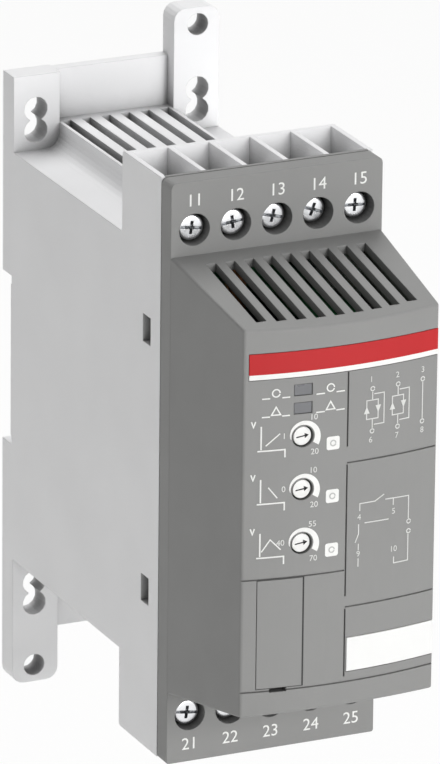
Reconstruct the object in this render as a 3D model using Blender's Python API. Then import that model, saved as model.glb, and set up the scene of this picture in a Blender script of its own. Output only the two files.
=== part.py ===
"""A compact soft starter for three-phase motors, clipped on a 35 mm rail or screwed to a wall by its ears.

The origin is the middle of the rail recess's floor, where the rail bears. +X is right as seen from the front,
the front looks along -Y and +Z is up. Sizes below are measured from the middle of the body: a distance called
forward runs towards the front from the back of the ears, which lies RECESS_DEPTH behind the origin, and the
back plate with its ears, rail recess and latch lies PLATE_MIDDLE above the body's middle.
"""
import math

import bmesh
import bpy
from mathutils import Vector

MM = 0.001

# Overall sizes
WIDTH = 45.0 * MM
BODY_HEIGHT = 120.0 * MM
DEPTH = 114.0 * MM
NOSE_DEPTH = 32.1 * MM
FACE_LIFT = 4.7 * MM
WALL = 1.8 * MM
GAP = 0.3 * MM
FINE_GAP = 0.12 * MM
OVERLAP = 1.0 * MM

# Back plate and ears
PLATE_MIDDLE = -0.8 * MM
PLATE_THICKNESS = 2.5 * MM
PLATE_HEIGHT = 120.0 * MM
EAR_THICKNESS = 5.4 * MM
EAR_WIDTH = 10.0 * MM
EAR_RISE = 10.0 * MM
EAR_CORNER = 2.5 * MM
EAR_HOLE_RADIUS = 2.3 * MM
EAR_HOLE_DROP = 3.6 * MM
HOLE_INSET = 4.8 * MM
KEYHOLE_RADIUS = 2.55 * MM
KEYHOLE_SPREAD = 4.5 * MM
KEYHOLE_DROP = 9.4 * MM
BACK_WALL = 6.0 * MM

# Ledges, scoops and vents of the rear housing
LEDGE_DROP = 16.5 * MM
VENT_RISE = 5.1 * MM
VENT_WIDTH = 25.0 * MM
SCOOP_RADIUS = 3.0 * MM
VENT_SLOTS = 6
VENT_SLOT_WIDTH = 2.0 * MM
VENT_SLOT_PITCH = 4.3 * MM
VENT_SLOT_START = 4.6 * MM
VENT_SLOT_MARGIN = 4.8 * MM

# Rail recess, hook and latch
RAIL_HEIGHT = 35.0 * MM
RAIL_PLAY = 1.0 * MM
RAIL_LIP = 1.0 * MM
RECESS_DEPTH = 4.1 * MM
RECESS_RELIEF = 0.4 * MM
HOOK_GRIP = 1.1 * MM
HOOK_WIDTH = 24.0 * MM
LATCH_RIB_WIDTH = 10.0 * MM
LATCH_WIDTH = 14.4 * MM
LATCH_BACK = 0.4 * MM
LATCH_FLANGE = 1.2 * MM
LATCH_TRAVEL = 3.0 * MM
TAIL_WIDTH = 8.8 * MM
TAIL_THICKNESS = 1.1 * MM
TAIL_DROP = 0.6 * MM
PULL_SLOT_HEIGHT = 1.8 * MM
SPRING_RADIUS = 1.5 * MM
SPRING_WIRE = 0.25 * MM
SPRING_LENGTH = 9.0 * MM
SPRING_TURNS = 5
SPRING_DROP = 5.0 * MM

# Terminals
COLUMNS = 5
COLUMNS_MARGIN = 1.15 * MM
TERMINAL_HEIGHT = 50.2 * MM
BLOCK_DEPTH = 18.4 * MM
BLOCK_WALL = 2.0 * MM
CAGE_HEIGHT = 6.4 * MM
CAGE_SPACE = 2.17 * MM
CAGE_SIDE = 0.9 * MM
CAGE_BACK = 1.2 * MM
CAGE_FRONT = 1.6 * MM
CAGE_DEPTH = 12.1 * MM
CAGE_DROP = 4.2 * MM
BAR_THICKNESS = 1.2 * MM
BAR_BEND = 1.6 * MM
RIM = 1.07 * MM
RIM_FRONT = 0.8 * MM
FUNNEL_DROP = 5.4 * MM
WIRE_HOLE_DEPTH = 5.3 * MM
CHAMBER_FLOOR = 1.5 * MM

# Terminal screws: how far each head lies below its face, and how far it is turned
HEAD_DEPTHS = [1.5, 1.6, 2.1, 2.6, 2.0]
HEAD_TURNS = [8.0, -6.0, 14.0, 20.0, 4.0]
SCREW_HOLE_RADIUS = 3.25 * MM
COLLAR_RADIUS = 4.1 * MM
COLLAR_LENGTH = 4.1 * MM
HEAD_RADIUS = 2.65 * MM
HEAD_HEIGHT = 2.2 * MM
SHANK_RADIUS = 1.6 * MM
THREAD_PLAY = 0.1 * MM
TIP_RADIUS = 0.9 * MM
FOOT_THICKNESS = 1.2 * MM
FOOT_REACH = 11.0 * MM
SLOT_LENGTH = 4.4 * MM
SLOT_WIDTH = 0.8 * MM
CROSS_LENGTH = 3.1 * MM
CROSS_WIDTH = 0.9 * MM
RECESS_IN_HEAD = 1.2 * MM

# Front cover
FACE_WALL = 2.0 * MM
FACE_INSET = 0.03 * MM
UPPER_CORNER = 1.2 * MM
LOWER_CORNER = 0.5 * MM
FACE_EDGE = 45.1 * MM
PANEL_INSET = 1.9 * MM
PANEL_HEIGHT = 79.2 * MM
PANEL_SAG = 2.3 * MM
PANEL_STEPS = 12
EDGE_ROUND = 0.45 * MM
SLOPE_SLOTS = 9
SLOPE_SLOT_WIDTH = 2.15 * MM
SLOPE_SLOT_PITCH = 3.98 * MM
SLOPE_SLOT_START = 4.15 * MM
SLOPE_SLOT_MARGIN = 3.25 * MM
TONGUE_HEIGHT = 27.0 * MM
TONGUE_WIDTH = 5.1 * MM
TONGUE_THICKNESS = 1.5 * MM
TONGUE_HOOK = 1.3 * MM
WINDOW_DROP = 8.2 * MM
WINDOW_LENGTH = 3.7 * MM

# Front panel details, placed from the middle of the panel
STRIP_TOP = 34.6 * MM
STRIP_HEIGHT = 5.2 * MM
STRIP_LEFT = -19.5 * MM
STRIP_THICKNESS = 0.6 * MM
LABEL_LEFT = 0.95 * MM
LABEL_TOP = -25.4 * MM
LABEL_HEIGHT = 6.9 * MM
GROOVE = 0.3 * MM
GROOVE_DEPTH = 0.35 * MM
MIDDLE_GROOVE = 0.42 * MM
GROOVES_DOWN = [(14.0, 29.2), (-16.7, 10.3), (-33.3, -19.3)]
GROOVES_RIGHT = [10.7, -18.9]
LOWER_GROOVE = -34.4 * MM
LEFT_GROOVE = -11.3 * MM

# Dials and light pipes
DIAL_X = -8.8 * MM
DIAL_HEIGHTS = [17.2, 6.4, -4.6]
DIAL_NAMES = ["dial_start_ramp", "dial_stop_ramp", "dial_start_voltage"]
DIAL_RADIUS = 1.9 * MM
DIAL_STEM_RADIUS = 1.2 * MM
DIAL_DISC = 1.6 * MM
DIAL_SINK = 0.25 * MM
ARROW_DEPTH = 0.5 * MM
TRIMMER_SIZE = 6.2 * MM
TRIMMER_DEPTH = 4.0 * MM
LIGHT_X = -8.85 * MM
LIGHT_HEIGHTS = [26.7, 23.0]
LIGHT_NAMES = ["light_pipe_ready", "light_pipe_run"]
LIGHT_WIDTH = 3.5 * MM
LIGHT_HEIGHT = 2.1 * MM

# Lid over the connector
LID_LEFT = -17.5 * MM
LID_RIGHT = -8.3 * MM
LID_TOP = -11.6 * MM
LID_BOTTOM = -33.85 * MM
LID_THICKNESS = 0.9 * MM
LID_SEAT = 0.8 * MM
LID_RIM = 1.0 * MM
PRY_SLOT_WIDTH = 3.4 * MM
PRY_SLOT_HEIGHT = 0.9 * MM
SOCKET_DEPTH = 6.2 * MM
SOCKET_WALL = 0.9 * MM
SOCKET_FLOOR = 1.4 * MM
SOCKET_PINS = 5
PIN_SIZE = 0.7 * MM

# Boards and what they carry
BOARD_THICKNESS = 1.6 * MM
POWER_BOARD_DROP = 27.2 * MM
POWER_BOARD_HEIGHT = 80.0 * MM
CONTROL_BOARD_DROP = 12.8 * MM
BOARD_MARGIN = 0.15 * MM
RAIL_RIB = 1.7 * MM
RIB_LENGTH = 60.0 * MM
LINK_LEFT = 3.4 * MM
LINK_WIDTH = 11.0 * MM
LINK_HEIGHT = 32.0 * MM
SINK_BASE = 4.5 * MM
SINK_DROP = 15.5 * MM
SINK_HEIGHT = 76.0 * MM
SINK_FINS = 9
FIN_THICKNESS = 1.4 * MM
THYRISTOR_WIDTH = 26.0 * MM
THYRISTOR_HEIGHT = 24.0 * MM
THYRISTOR_DEPTH = 8.0 * MM
THYRISTOR_HEIGHTS = [17.0, -17.0]
LEAD_SIZE = 1.0 * MM
LEAD_PITCH = 7.0 * MM
RELAY_MARGIN = 2.4 * MM
RELAY_HEIGHT = 20.0 * MM
RELAY_DEPTH = 15.5 * MM
RELAY_Z = 12.0 * MM
CORE_WIDTH = 18.0 * MM
CORE_HEIGHT = 20.0 * MM
CORE_DEPTH = 9.6 * MM
CORE_Z = -20.0 * MM
WINDING_HEIGHT = 12.0 * MM
CORE_LEG = 3.5 * MM

# Colours
LIGHT_GREY = (0.58, 0.58, 0.59)
MID_GREY = (0.33, 0.33, 0.32)
RED = (0.58, 0.04, 0.04)
WHITE = (0.85, 0.85, 0.84)
SMOKE = (0.12, 0.12, 0.13)
BLACK = (0.02, 0.02, 0.02)
GREEN = (0.02, 0.16, 0.07)
ZINC = (0.72, 0.73, 0.74)
COPPER = (0.72, 0.44, 0.30)
BRASS = (0.75, 0.60, 0.32)
ALUMINIUM = (0.70, 0.70, 0.71)

# Sizes that follow from the ones above
HALF_WIDTH = WIDTH / 2
HALF_HEIGHT = BODY_HEIGHT / 2
FACE_FORWARD = DEPTH - NOSE_DEPTH
HOUSING_DEPTH = FACE_FORWARD - FACE_LIFT
PITCH = (WIDTH - COLUMNS_MARGIN) / COLUMNS
LEDGE = HALF_HEIGHT - LEDGE_DROP
VENT_TOP = LEDGE + VENT_RISE
RECESS_HALF = (RAIL_HEIGHT + RAIL_PLAY) / 2
BLOCK_START = HOUSING_DEPTH - BLOCK_DEPTH
CAGE_WIDTH = PITCH - CAGE_SPACE
CAGE_END = HOUSING_DEPTH - CAGE_DROP
CAGE_START = CAGE_END - CAGE_DEPTH
CHAMBER_WIDTH = CAGE_WIDTH + 2 * GAP
CHAMBER_START = CAGE_START - GAP
CHAMBER_LOW = TERMINAL_HEIGHT - CAGE_HEIGHT / 2 - GAP
CHAMBER_HIGH = TERMINAL_HEIGHT + CAGE_HEIGHT / 2 + GAP
BAR_START = CAGE_START + CAGE_BACK + GAP
BAR_WIDTH = CAGE_WIDTH - 2 * CAGE_SIDE - 2 * GAP
COVER_START = HOUSING_DEPTH + GAP
FACE_HALF_WIDTH = HALF_WIDTH - FACE_INSET
WINDOW_START = HOUSING_DEPTH - WINDOW_DROP
PANEL_HALF = HALF_WIDTH - PANEL_INSET
PANEL_EDGE = DEPTH - PANEL_SAG
PANEL_RADIUS = (PANEL_HALF ** 2 + PANEL_SAG ** 2) / (2 * PANEL_SAG)
HOOK_FORWARD = RECESS_DEPTH - RAIL_LIP - GAP
LATCH_FRONT = HOOK_FORWARD - GAP
RAIL_TIP = RAIL_HEIGHT / 2 - HOOK_GRIP
CHANNEL_LOW = WALL / 2 - LEDGE - PLATE_MIDDLE
LATCH_FLANGE_LOW = CHANNEL_LOW + LATCH_TRAVEL + GAP
TAIL_FRONT = LATCH_BACK + TAIL_THICKNESS
POWER_BOARD_FORWARD = HOUSING_DEPTH - POWER_BOARD_DROP
POWER_BOARD_FRONT = POWER_BOARD_FORWARD + BOARD_THICKNESS
CONTROL_BOARD_FORWARD = DEPTH - CONTROL_BOARD_DROP
CONTROL_BOARD_FRONT = CONTROL_BOARD_FORWARD + BOARD_THICKNESS
SPRING_LOW = -RECESS_HALF - SPRING_DROP - SPRING_LENGTH
SPRING_CENTRE = LATCH_FRONT + GAP / 2
SINK_START = BACK_WALL + GAP
SINK_END = POWER_BOARD_FORWARD - SINK_DROP
RELAY_START = BAR_WIDTH / 2 + 4 * GAP
RELAY_END = HALF_WIDTH - WALL - RELAY_MARGIN


def box_outline(a0, a1, b0, b1):
    """The four corners of a rectangle."""
    return [(a0, b0), (a1, b0), (a1, b1), (a0, b1)]


def arc(centre, radius, start, stop, steps):
    """Points on a circle from one angle to another, in degrees."""
    angles = [math.radians(start + (stop - start) * i / steps) for i in range(steps + 1)]
    return [(centre[0] + radius * math.cos(t), centre[1] + radius * math.sin(t)) for t in angles]


def circle(centre, radius, steps):
    """A full circle, with its last point not repeated."""
    return arc(centre, radius, 0, 360, steps)[:-1]


def rounded(corners, steps=4):
    """An outline whose corners (a, b, radius) are rounded by arcs."""
    outline = []
    for i, (a, b, radius) in enumerate(corners):
        corner = Vector((a, b))
        before = Vector(corners[i - 1][:2]) - corner
        after = Vector(corners[(i + 1) % len(corners)][:2]) - corner
        if radius == 0:
            outline.append((a, b))
            continue
        half = before.angle(after) / 2
        reach = min(radius / math.tan(half), before.length * 0.45, after.length * 0.45)
        centre = corner + (before.normalized() + after.normalized()).normalized() * (reach / math.cos(half))
        first = corner + before.normalized() * reach - centre
        last = corner + after.normalized() * reach - centre
        turn = first.angle_signed(last)
        for step in range(steps + 1):
            angle = -turn * step / steps
            cos, sin = math.cos(angle), math.sin(angle)
            outline.append((centre.x + first.x * cos - first.y * sin,
                            centre.y + first.x * sin + first.y * cos))
    return outline


def place(a, b, c, along):
    """A point from two outline coordinates and one along the sweep."""
    if along == "forward":
        return Vector((a, -c, b))
    if along == "x":
        return Vector((c, -a, b))
    return Vector((a, -b, c))


def sweep(outline, start, stop, along="forward"):
    """A prism. The outline is (x, z) along forward, (forward, z) along x and (x, forward) along z."""
    bm = bmesh.new()
    face = bm.faces.new([bm.verts.new(place(a, b, start, along)) for a, b in outline])
    grown = bmesh.ops.extrude_face_region(bm, geom=[face])
    moved = [item for item in grown["geom"] if isinstance(item, bmesh.types.BMVert)]
    bmesh.ops.translate(bm, verts=moved, vec=place(0, 0, stop - start, along))
    bmesh.ops.recalc_face_normals(bm, faces=bm.faces)
    return bm


def block(x0, x1, forward0, forward1, z0, z1):
    """A box between two corners."""
    return sweep(box_outline(x0, x1, z0, z1), forward0, forward1)


def loft(rings):
    """A closed solid through rings of points that match one to one."""
    bm = bmesh.new()
    loops = [[bm.verts.new(point) for point in ring] for ring in rings]
    bm.faces.new(loops[0])
    bm.faces.new(loops[-1])
    for lower, upper in zip(loops, loops[1:]):
        for i in range(len(lower)):
            bm.faces.new((lower[i - 1], lower[i], upper[i], upper[i - 1]))
    bmesh.ops.recalc_face_normals(bm, faces=bm.faces)
    return bm


def turned(profile, segments):
    """A solid turned about the Y axis through the origin, from a profile of (forward, radius) pairs."""
    bm = bmesh.new()
    verts = [bm.verts.new((radius, -forward, 0)) for forward, radius in profile]
    edges = [bm.edges.new(pair) for pair in zip(verts, verts[1:])]
    bmesh.ops.spin(bm, geom=verts + edges, axis=(0, 1, 0), cent=(0, 0, 0), angle=2 * math.pi, steps=segments)
    bmesh.ops.remove_doubles(bm, verts=bm.verts, dist=0.01 * MM)
    bmesh.ops.recalc_face_normals(bm, faces=bm.faces)
    return bm


def joined(solids):
    """One mesh that holds several solids."""
    whole = bmesh.new()
    for solid in solids:
        mesh = bpy.data.meshes.new("joined")
        solid.to_mesh(mesh)
        solid.free()
        whole.from_mesh(mesh)
        bpy.data.meshes.remove(mesh)
    return whole


def paint(name, colour, roughness, metallic):
    """A Principled material for one piece."""
    made = bpy.data.materials.new(name)
    made.use_nodes = True
    shader = made.node_tree.nodes["Principled BSDF"]
    shader.inputs["Base Color"].default_value = (*colour, 1.0)
    shader.inputs["Roughness"].default_value = roughness
    shader.inputs["Metallic"].default_value = metallic
    return made


def piece(name, bm, colour, roughness=0.5, metallic=0.0, at=(0, 0, 0), smooth=False):
    """A visible object, its origin at a place measured from the body's middle and the back of the ears."""
    mesh = bpy.data.meshes.new(name)
    bmesh.ops.triangulate(bm, faces=[face for face in bm.faces if len(face.verts) > 4])
    bm.to_mesh(mesh)
    bm.free()
    if smooth:
        mesh.shade_smooth()
        mesh.set_sharp_from_angle(angle=math.radians(35))
    made = bpy.data.objects.new(name, mesh)
    made.location = Vector(at) + Vector((0, RECESS_DEPTH, -PLATE_MIDDLE))
    mesh.materials.append(paint(name, colour, roughness, metallic))
    bpy.context.scene.collection.objects.link(made)
    return made


def combine(host, bm, operation, name, rise=0.0):
    """Adds a solid to the host or cuts it away, with an exact Boolean and a hidden operand raised by rise."""
    mesh = bpy.data.meshes.new(name)
    bm.to_mesh(mesh)
    bm.free()
    operand = bpy.data.objects.new(name, mesh)
    operand.parent = host
    operand.location.z = rise
    operand.hide_render = True
    operand.display_type = "WIRE"
    bpy.context.scene.collection.objects.link(operand)
    modifier = host.modifiers.new(name, "BOOLEAN")
    modifier.operation = operation
    modifier.solver = "EXACT"
    modifier.object = operand
    return operand


def cut(host, bm, name, rise=0.0):
    return combine(host, bm, "DIFFERENCE", name, rise)


def add(host, bm, name, rise=0.0):
    return combine(host, bm, "UNION", name, rise)


def round_edges(made, width, segments=2):
    """A Bevel on the sharp edges."""
    bevel = made.modifiers.new("rounded_edges", "BEVEL")
    bevel.width = width
    bevel.segments = segments
    bevel.limit_method = "ANGLE"
    bevel.angle_limit = math.radians(30)


def column_x(column):
    """The x of a terminal column, counted from the left."""
    return (column - (COLUMNS - 1) / 2) * PITCH


def terminals():
    """Each terminal as (number, column, row), the row +1 for the upper one and -1 for the lower one."""
    rows = [(row, column) for row in (1, -1) for column in range(COLUMNS)]
    return [(1 + column + (0 if row > 0 else COLUMNS), column, row) for row, column in rows]


def body_outline(side, inset=0.0):
    """The rear housing's cross-section out to side, with scoops beside the vent blocks, moved in by inset."""
    scoop = min(SCOOP_RADIUS, VENT_RISE - WALL - GAP)
    centre = (VENT_WIDTH / 2 + scoop, LEDGE + scoop)
    quarter = [(side, LEDGE - inset)]
    quarter += arc(centre, scoop + inset, 270, 180, 5)
    quarter += [(VENT_WIDTH / 2 - inset, VENT_TOP - inset)]
    upper = quarter + [(-x, z) for x, z in reversed(quarter)]
    return upper + [(-x, -z) for x, z in upper]


def ear_strip(side):
    """A thick strip of the back plate with an ear at one end, from behind the mounting face, to be trimmed."""
    reach, end = PLATE_HEIGHT / 2 + EAR_RISE, PLATE_HEIGHT / 2
    inner, outer = side * (HALF_WIDTH - EAR_WIDTH), side * HALF_WIDTH
    corners = [(inner, side * reach, EAR_CORNER), (outer, side * reach, EAR_CORNER), (outer, side * end, 0)]
    corners += [(outer + side * OVERLAP, side * end, 0), (outer + side * OVERLAP, -side * end, 0)]
    return sweep(rounded(corners + [(inner, -side * end, 0)]), -2 * OVERLAP, EAR_THICKNESS)


def ear_holes():
    """A round hole and a keyhole through the ear, and a keyhole through the pad, on each side."""
    hole_z = PLATE_HEIGHT / 2 + EAR_RISE - EAR_HOLE_DROP
    keyhole_z = PLATE_HEIGHT / 2 - KEYHOLE_DROP
    waist = math.degrees(math.asin(KEYHOLE_SPREAD / 2 / KEYHOLE_RADIUS))
    solids = []
    for side in (1, -1):
        x = side * (HALF_WIDTH - HOLE_INSET)
        solids.append(sweep(circle((x, side * hole_z), EAR_HOLE_RADIUS, 16), -OVERLAP,
                            EAR_THICKNESS + OVERLAP))
        for end in (1, -1):
            middle = end * keyhole_z
            upper = arc((x, middle + KEYHOLE_SPREAD / 2), KEYHOLE_RADIUS, -waist, 180 + waist, 12)
            lower = arc((x, middle - KEYHOLE_SPREAD / 2), KEYHOLE_RADIUS, 180 - waist, 360 + waist, 12)
            solids.append(sweep(upper[:-1] + lower[:-1], -OVERLAP, EAR_THICKNESS + OVERLAP))
    return joined(solids)


def funnel(x, row):
    """A wire entry that narrows from the rim down to the hole over the cage, as a cutter."""
    rim = box_outline(x - (PITCH - RIM) / 2, x + (PITCH - RIM) / 2, CHAMBER_START, HOUSING_DEPTH - RIM_FRONT)
    hole_x = CAGE_WIDTH / 2 - CAGE_SIDE
    hole_start = BAR_START + BAR_THICKNESS
    hole = box_outline(x - hole_x, x + hole_x, hole_start, hole_start + WIRE_HOLE_DEPTH)
    levels = [(rim, HALF_HEIGHT + OVERLAP), (rim, HALF_HEIGHT), (hole, HALF_HEIGHT - FUNNEL_DROP)]
    levels += [(hole, CHAMBER_HIGH - OVERLAP / 2)]
    return loft([[place(a, b, row * z, "z") for a, b in outline] for outline, z in levels])


def vent_slots():
    """The slots in the upper and lower vent blocks, as cutters."""
    solids = []
    for end in (1, -1):
        for slot in range(VENT_SLOTS):
            x = (slot - (VENT_SLOTS - 1) / 2) * VENT_SLOT_PITCH
            low, high = end * (LEDGE + WALL / 2), end * (VENT_TOP + OVERLAP)
            solids.append(block(x - VENT_SLOT_WIDTH / 2, x + VENT_SLOT_WIDTH / 2, VENT_SLOT_START,
                                BLOCK_START - VENT_SLOT_MARGIN, min(low, high), max(low, high)))
    return joined(solids)


def rail_recess(side):
    """The recess for the rail, with a relief along both edges so that the rail bears on the floor."""
    quarter = [(RECESS_DEPTH, RAIL_TIP - GAP), (RECESS_DEPTH + RECESS_RELIEF, RAIL_TIP - GAP)]
    quarter += [(RECESS_DEPTH + RECESS_RELIEF, RECESS_HALF), (-OVERLAP, RECESS_HALF)]
    return sweep(quarter + [(forward, -z) for forward, z in reversed(quarter)], -side, side, "x")


def latch_channel():
    """The T-shaped channel for the latch and the groove for its tail, open at the back, as four cutters."""
    back = LATCH_FRONT - LATCH_FLANGE - GAP
    rib, flange, tail = LATCH_RIB_WIDTH / 2 + GAP, LATCH_WIDTH / 2 + GAP, TAIL_WIDTH / 2 + GAP
    narrow = block(-rib, rib, -OVERLAP, LATCH_FRONT - LATCH_FLANGE / 2, CHANNEL_LOW - GAP,
                   -RECESS_HALF + OVERLAP)
    wide = block(-flange, flange, back, LATCH_FRONT + GAP, CHANNEL_LOW, -RECESS_HALF - RAIL_LIP - GAP)
    mouth = block(GAP / 2 - rib, rib - GAP / 2, -2 * OVERLAP, LATCH_FRONT + GAP, -RECESS_HALF - 2 * RAIL_LIP,
                  -RECESS_HALF + 2 * OVERLAP)
    groove = block(-tail, tail, -2 * OVERLAP, TAIL_FRONT + GAP, -PLATE_HEIGHT / 2 - OVERLAP,
                   CHANNEL_LOW + OVERLAP)
    return narrow, wide, mouth, groove


def rear_housing():
    """The light grey moulded shell that carries everything else."""
    side = HALF_WIDTH + OVERLAP
    made = piece("rear_housing", sweep(body_outline(side + OVERLAP), -OVERLAP, BLOCK_START + OVERLAP),
                 LIGHT_GREY)
    plate = HALF_WIDTH - EAR_WIDTH / 2
    add(made, block(-plate, plate, -3 * OVERLAP, PLATE_THICKNESS, OVERLAP / 4 - PLATE_HEIGHT / 2,
                    PLATE_HEIGHT / 2 - OVERLAP / 4), "plate", PLATE_MIDDLE)
    for name, direction in (("right_strip", 1), ("left_strip", -1)):
        add(made, ear_strip(direction), name, PLATE_MIDDLE)
    ends = [(BLOCK_START, HALF_HEIGHT, EDGE_ROUND * 2), (HOUSING_DEPTH, HALF_HEIGHT, 0)]
    ends += [(forward, -z, radius) for forward, z, radius in reversed(ends)]
    add(made, sweep(rounded(ends), -side - 2 * OVERLAP, side + 2 * OVERLAP, "x"), "terminal_blocks")
    keep = block(-HALF_WIDTH, HALF_WIDTH, 0, HOUSING_DEPTH + OVERLAP, -BODY_HEIGHT, BODY_HEIGHT)
    combine(made, keep, "INTERSECT", "trim")

    inner = HALF_WIDTH - WALL
    cut(made, sweep(body_outline(inner, WALL), BACK_WALL, BLOCK_START - WALL), "body_cavity")
    under, across = CHAMBER_LOW - CHAMBER_FLOOR, HALF_WIDTH - BLOCK_WALL
    front_cavity = [(BLOCK_START - 2 * WALL, LEDGE - BLOCK_WALL), (CHAMBER_START, LEDGE - BLOCK_WALL)]
    front_cavity += [(CHAMBER_START, under), (HOUSING_DEPTH + OVERLAP, under)]
    front_cavity += [(forward, -z) for forward, z in reversed(front_cavity)]
    cut(made, sweep(front_cavity, -across, across, "x"), "front_cavity")

    bar_x = BAR_WIDTH / 2 + GAP
    chambers, bar_slots, funnels = [], [], []
    for _, column, row in terminals():
        x = column_x(column)
        low, high = sorted((row * CHAMBER_LOW, row * CHAMBER_HIGH))
        chambers.append(block(x - CHAMBER_WIDTH / 2, x + CHAMBER_WIDTH / 2, CHAMBER_START,
                              HOUSING_DEPTH + OVERLAP,
                              low, high))
        low, high = sorted((row * (under - OVERLAP), row * (CHAMBER_LOW + OVERLAP)))
        bar_slots.append(block(x - bar_x, x + bar_x, BAR_START - GAP, BAR_START + BAR_THICKNESS + GAP, low,
                               high))
        funnels.append(funnel(x, row))
    cut(made, joined(chambers), "chambers")
    cut(made, joined(bar_slots), "bar_slots")
    cut(made, joined(funnels), "funnels")
    cut(made, vent_slots(), "vent_slots")
    cut(made, ear_holes(), "ear_holes", PLATE_MIDDLE)

    cut(made, rail_recess(side), "rail_recess", PLATE_MIDDLE)
    root = RECESS_HALF + OVERLAP
    hook = [(LATCH_BACK, root), (LATCH_BACK, RAIL_TIP + GAP * 2), (LATCH_BACK + GAP * 2, RAIL_TIP)]
    hook += [(HOOK_FORWARD, RAIL_TIP), (HOOK_FORWARD, root)]
    add(made, sweep(hook, -HOOK_WIDTH / 2, HOOK_WIDTH / 2, "x"), "rail_hook", PLATE_MIDDLE)
    for name, cutter in zip(("latch_channel", "latch_grooves", "latch_mouth", "tail_groove"),
                            latch_channel()):
        cut(made, cutter, name, PLATE_MIDDLE)
    pocket = SPRING_RADIUS + SPRING_WIRE + GAP
    cut(made, block(-pocket, pocket, LATCH_FRONT, SPRING_CENTRE + pocket, SPRING_LOW - GAP,
                    SPRING_LOW + SPRING_LENGTH + OVERLAP), "spring_pocket", PLATE_MIDDLE)

    windows = [block(-side, side, WINDOW_START, WINDOW_START + WINDOW_LENGTH, z - TONGUE_WIDTH / 2 - GAP,
                     z + TONGUE_WIDTH / 2 + GAP) for z in (TONGUE_HEIGHT, -TONGUE_HEIGHT)]
    cut(made, joined(windows), "snap_windows")
    for name, direction in (("left_rib", -1), ("right_rib", 1)):
        x0, x1 = sorted((direction * (inner - RAIL_RIB), direction * (inner + WALL / 2)))
        add(made, block(x0, x1, POWER_BOARD_FORWARD - GAP - RAIL_RIB, POWER_BOARD_FORWARD - GAP,
                        -RIB_LENGTH / 2,
                        RIB_LENGTH / 2), name)
    return made


def panel_forward(x, sunk=0.0):
    """How far forward the bowed front panel lies at x, or a surface sunk below it."""
    return DEPTH - PANEL_RADIUS + math.sqrt((PANEL_RADIUS - sunk) ** 2 - x ** 2)


def nose_side(forward):
    """The half width of the cover's tapered nose."""
    share = (forward - FACE_FORWARD) / (PANEL_EDGE - FACE_FORWARD)
    return FACE_HALF_WIDTH + (PANEL_HALF - FACE_HALF_WIDTH) * share


def nose_edge(forward):
    """The half height of the nose, along its sloped vent faces."""
    share = (forward - FACE_FORWARD) / (PANEL_EDGE - FACE_FORWARD)
    return FACE_EDGE + (PANEL_HEIGHT / 2 - FACE_EDGE) * share


def nose(inset, back):
    """The nose of the cover, with each face moved inwards by inset."""
    reach = PANEL_HALF - inset
    front = [reach - 2 * reach * step / PANEL_STEPS for step in range(PANEL_STEPS + 1)]
    side = FACE_HALF_WIDTH - inset
    plan = [(side, back), (side, FACE_FORWARD)] + [(x, panel_forward(x, inset)) for x in front]
    plan += [(-side, FACE_FORWARD), (-side, back)]
    return loft([[place(x, f, end * (nose_edge(f) - inset), "z") for x, f in plan] for end in (-1, 1)])


def panel_slab(x0, x1, z0, z1, out, sunk, steps=PANEL_STEPS):
    """A slab that follows the bowed panel, from out in front of it to sunk below it."""
    xs = [x0 + (x1 - x0) * step / steps for step in range(steps + 1)]
    plan = [(x, panel_forward(x, -out)) for x in xs] + [(x, panel_forward(x, sunk)) for x in reversed(xs)]
    return sweep(plan, z0, z1, "z")


def snap_tongue(side, z):
    """A tongue from the nose's side wall back to a snap window, with its hook."""
    outer = HALF_WIDTH - BLOCK_WALL - GAP
    inner = outer - TONGUE_THICKNESS
    root = nose_side(FACE_FORWARD) - WALL + OVERLAP / 2
    back, catch = WINDOW_START + GAP / 2, WINDOW_START + WINDOW_LENGTH - GAP
    end = FACE_FORWARD + 2 * OVERLAP
    step = FACE_FORWARD - FACE_WALL + GAP
    plan = [(inner, end), (root, end), (root, step), (outer, step), (outer, catch), (outer + TONGUE_HOOK,
                                                                                     catch)]
    plan += [(outer + TONGUE_HOOK, catch - TONGUE_HOOK), (outer, back), (inner, back)]
    return sweep([(side * x, forward) for x, forward in plan], z - TONGUE_WIDTH / 2, z + TONGUE_WIDTH / 2,
                 "z")


def slope_slots():
    """The slots in the sloped faces above and below the panel, as cutters."""
    solids = []
    for end in (1, -1):
        for slot in range(SLOPE_SLOTS):
            x = (slot - (SLOPE_SLOTS - 1) / 2) * SLOPE_SLOT_PITCH
            low, high = sorted((end * (PANEL_HEIGHT / 2 - 2 * WALL), end * (FACE_EDGE + OVERLAP)))
            solids.append(block(x - SLOPE_SLOT_WIDTH / 2, x + SLOPE_SLOT_WIDTH / 2,
                                FACE_FORWARD + SLOPE_SLOT_START, panel_forward(x) - SLOPE_SLOT_MARGIN, low,
                                high))
    return joined(solids)


def panel_grooves():
    """The fine grooves that divide the panel, as one cutter for those across and one for those down."""
    past = PANEL_HALF + OVERLAP
    across = [(MIDDLE_GROOVE, past, z * MM) for z in GROOVES_RIGHT]
    across += [(-past, past, LOWER_GROOVE), (-past, MIDDLE_GROOVE - GROOVE, LEFT_GROOVE)]
    flat = [panel_slab(x0, x1, z - GROOVE / 2, z + GROOVE / 2, OVERLAP, GROOVE_DEPTH) for x0, x1, z in across]
    upright = [panel_slab(MIDDLE_GROOVE - GROOVE / 2, MIDDLE_GROOVE + GROOVE / 2, z0 * MM, z1 * MM, OVERLAP,
                          GROOVE_DEPTH, 1) for z0, z1 in GROOVES_DOWN]
    return joined(flat), joined(upright)


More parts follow.
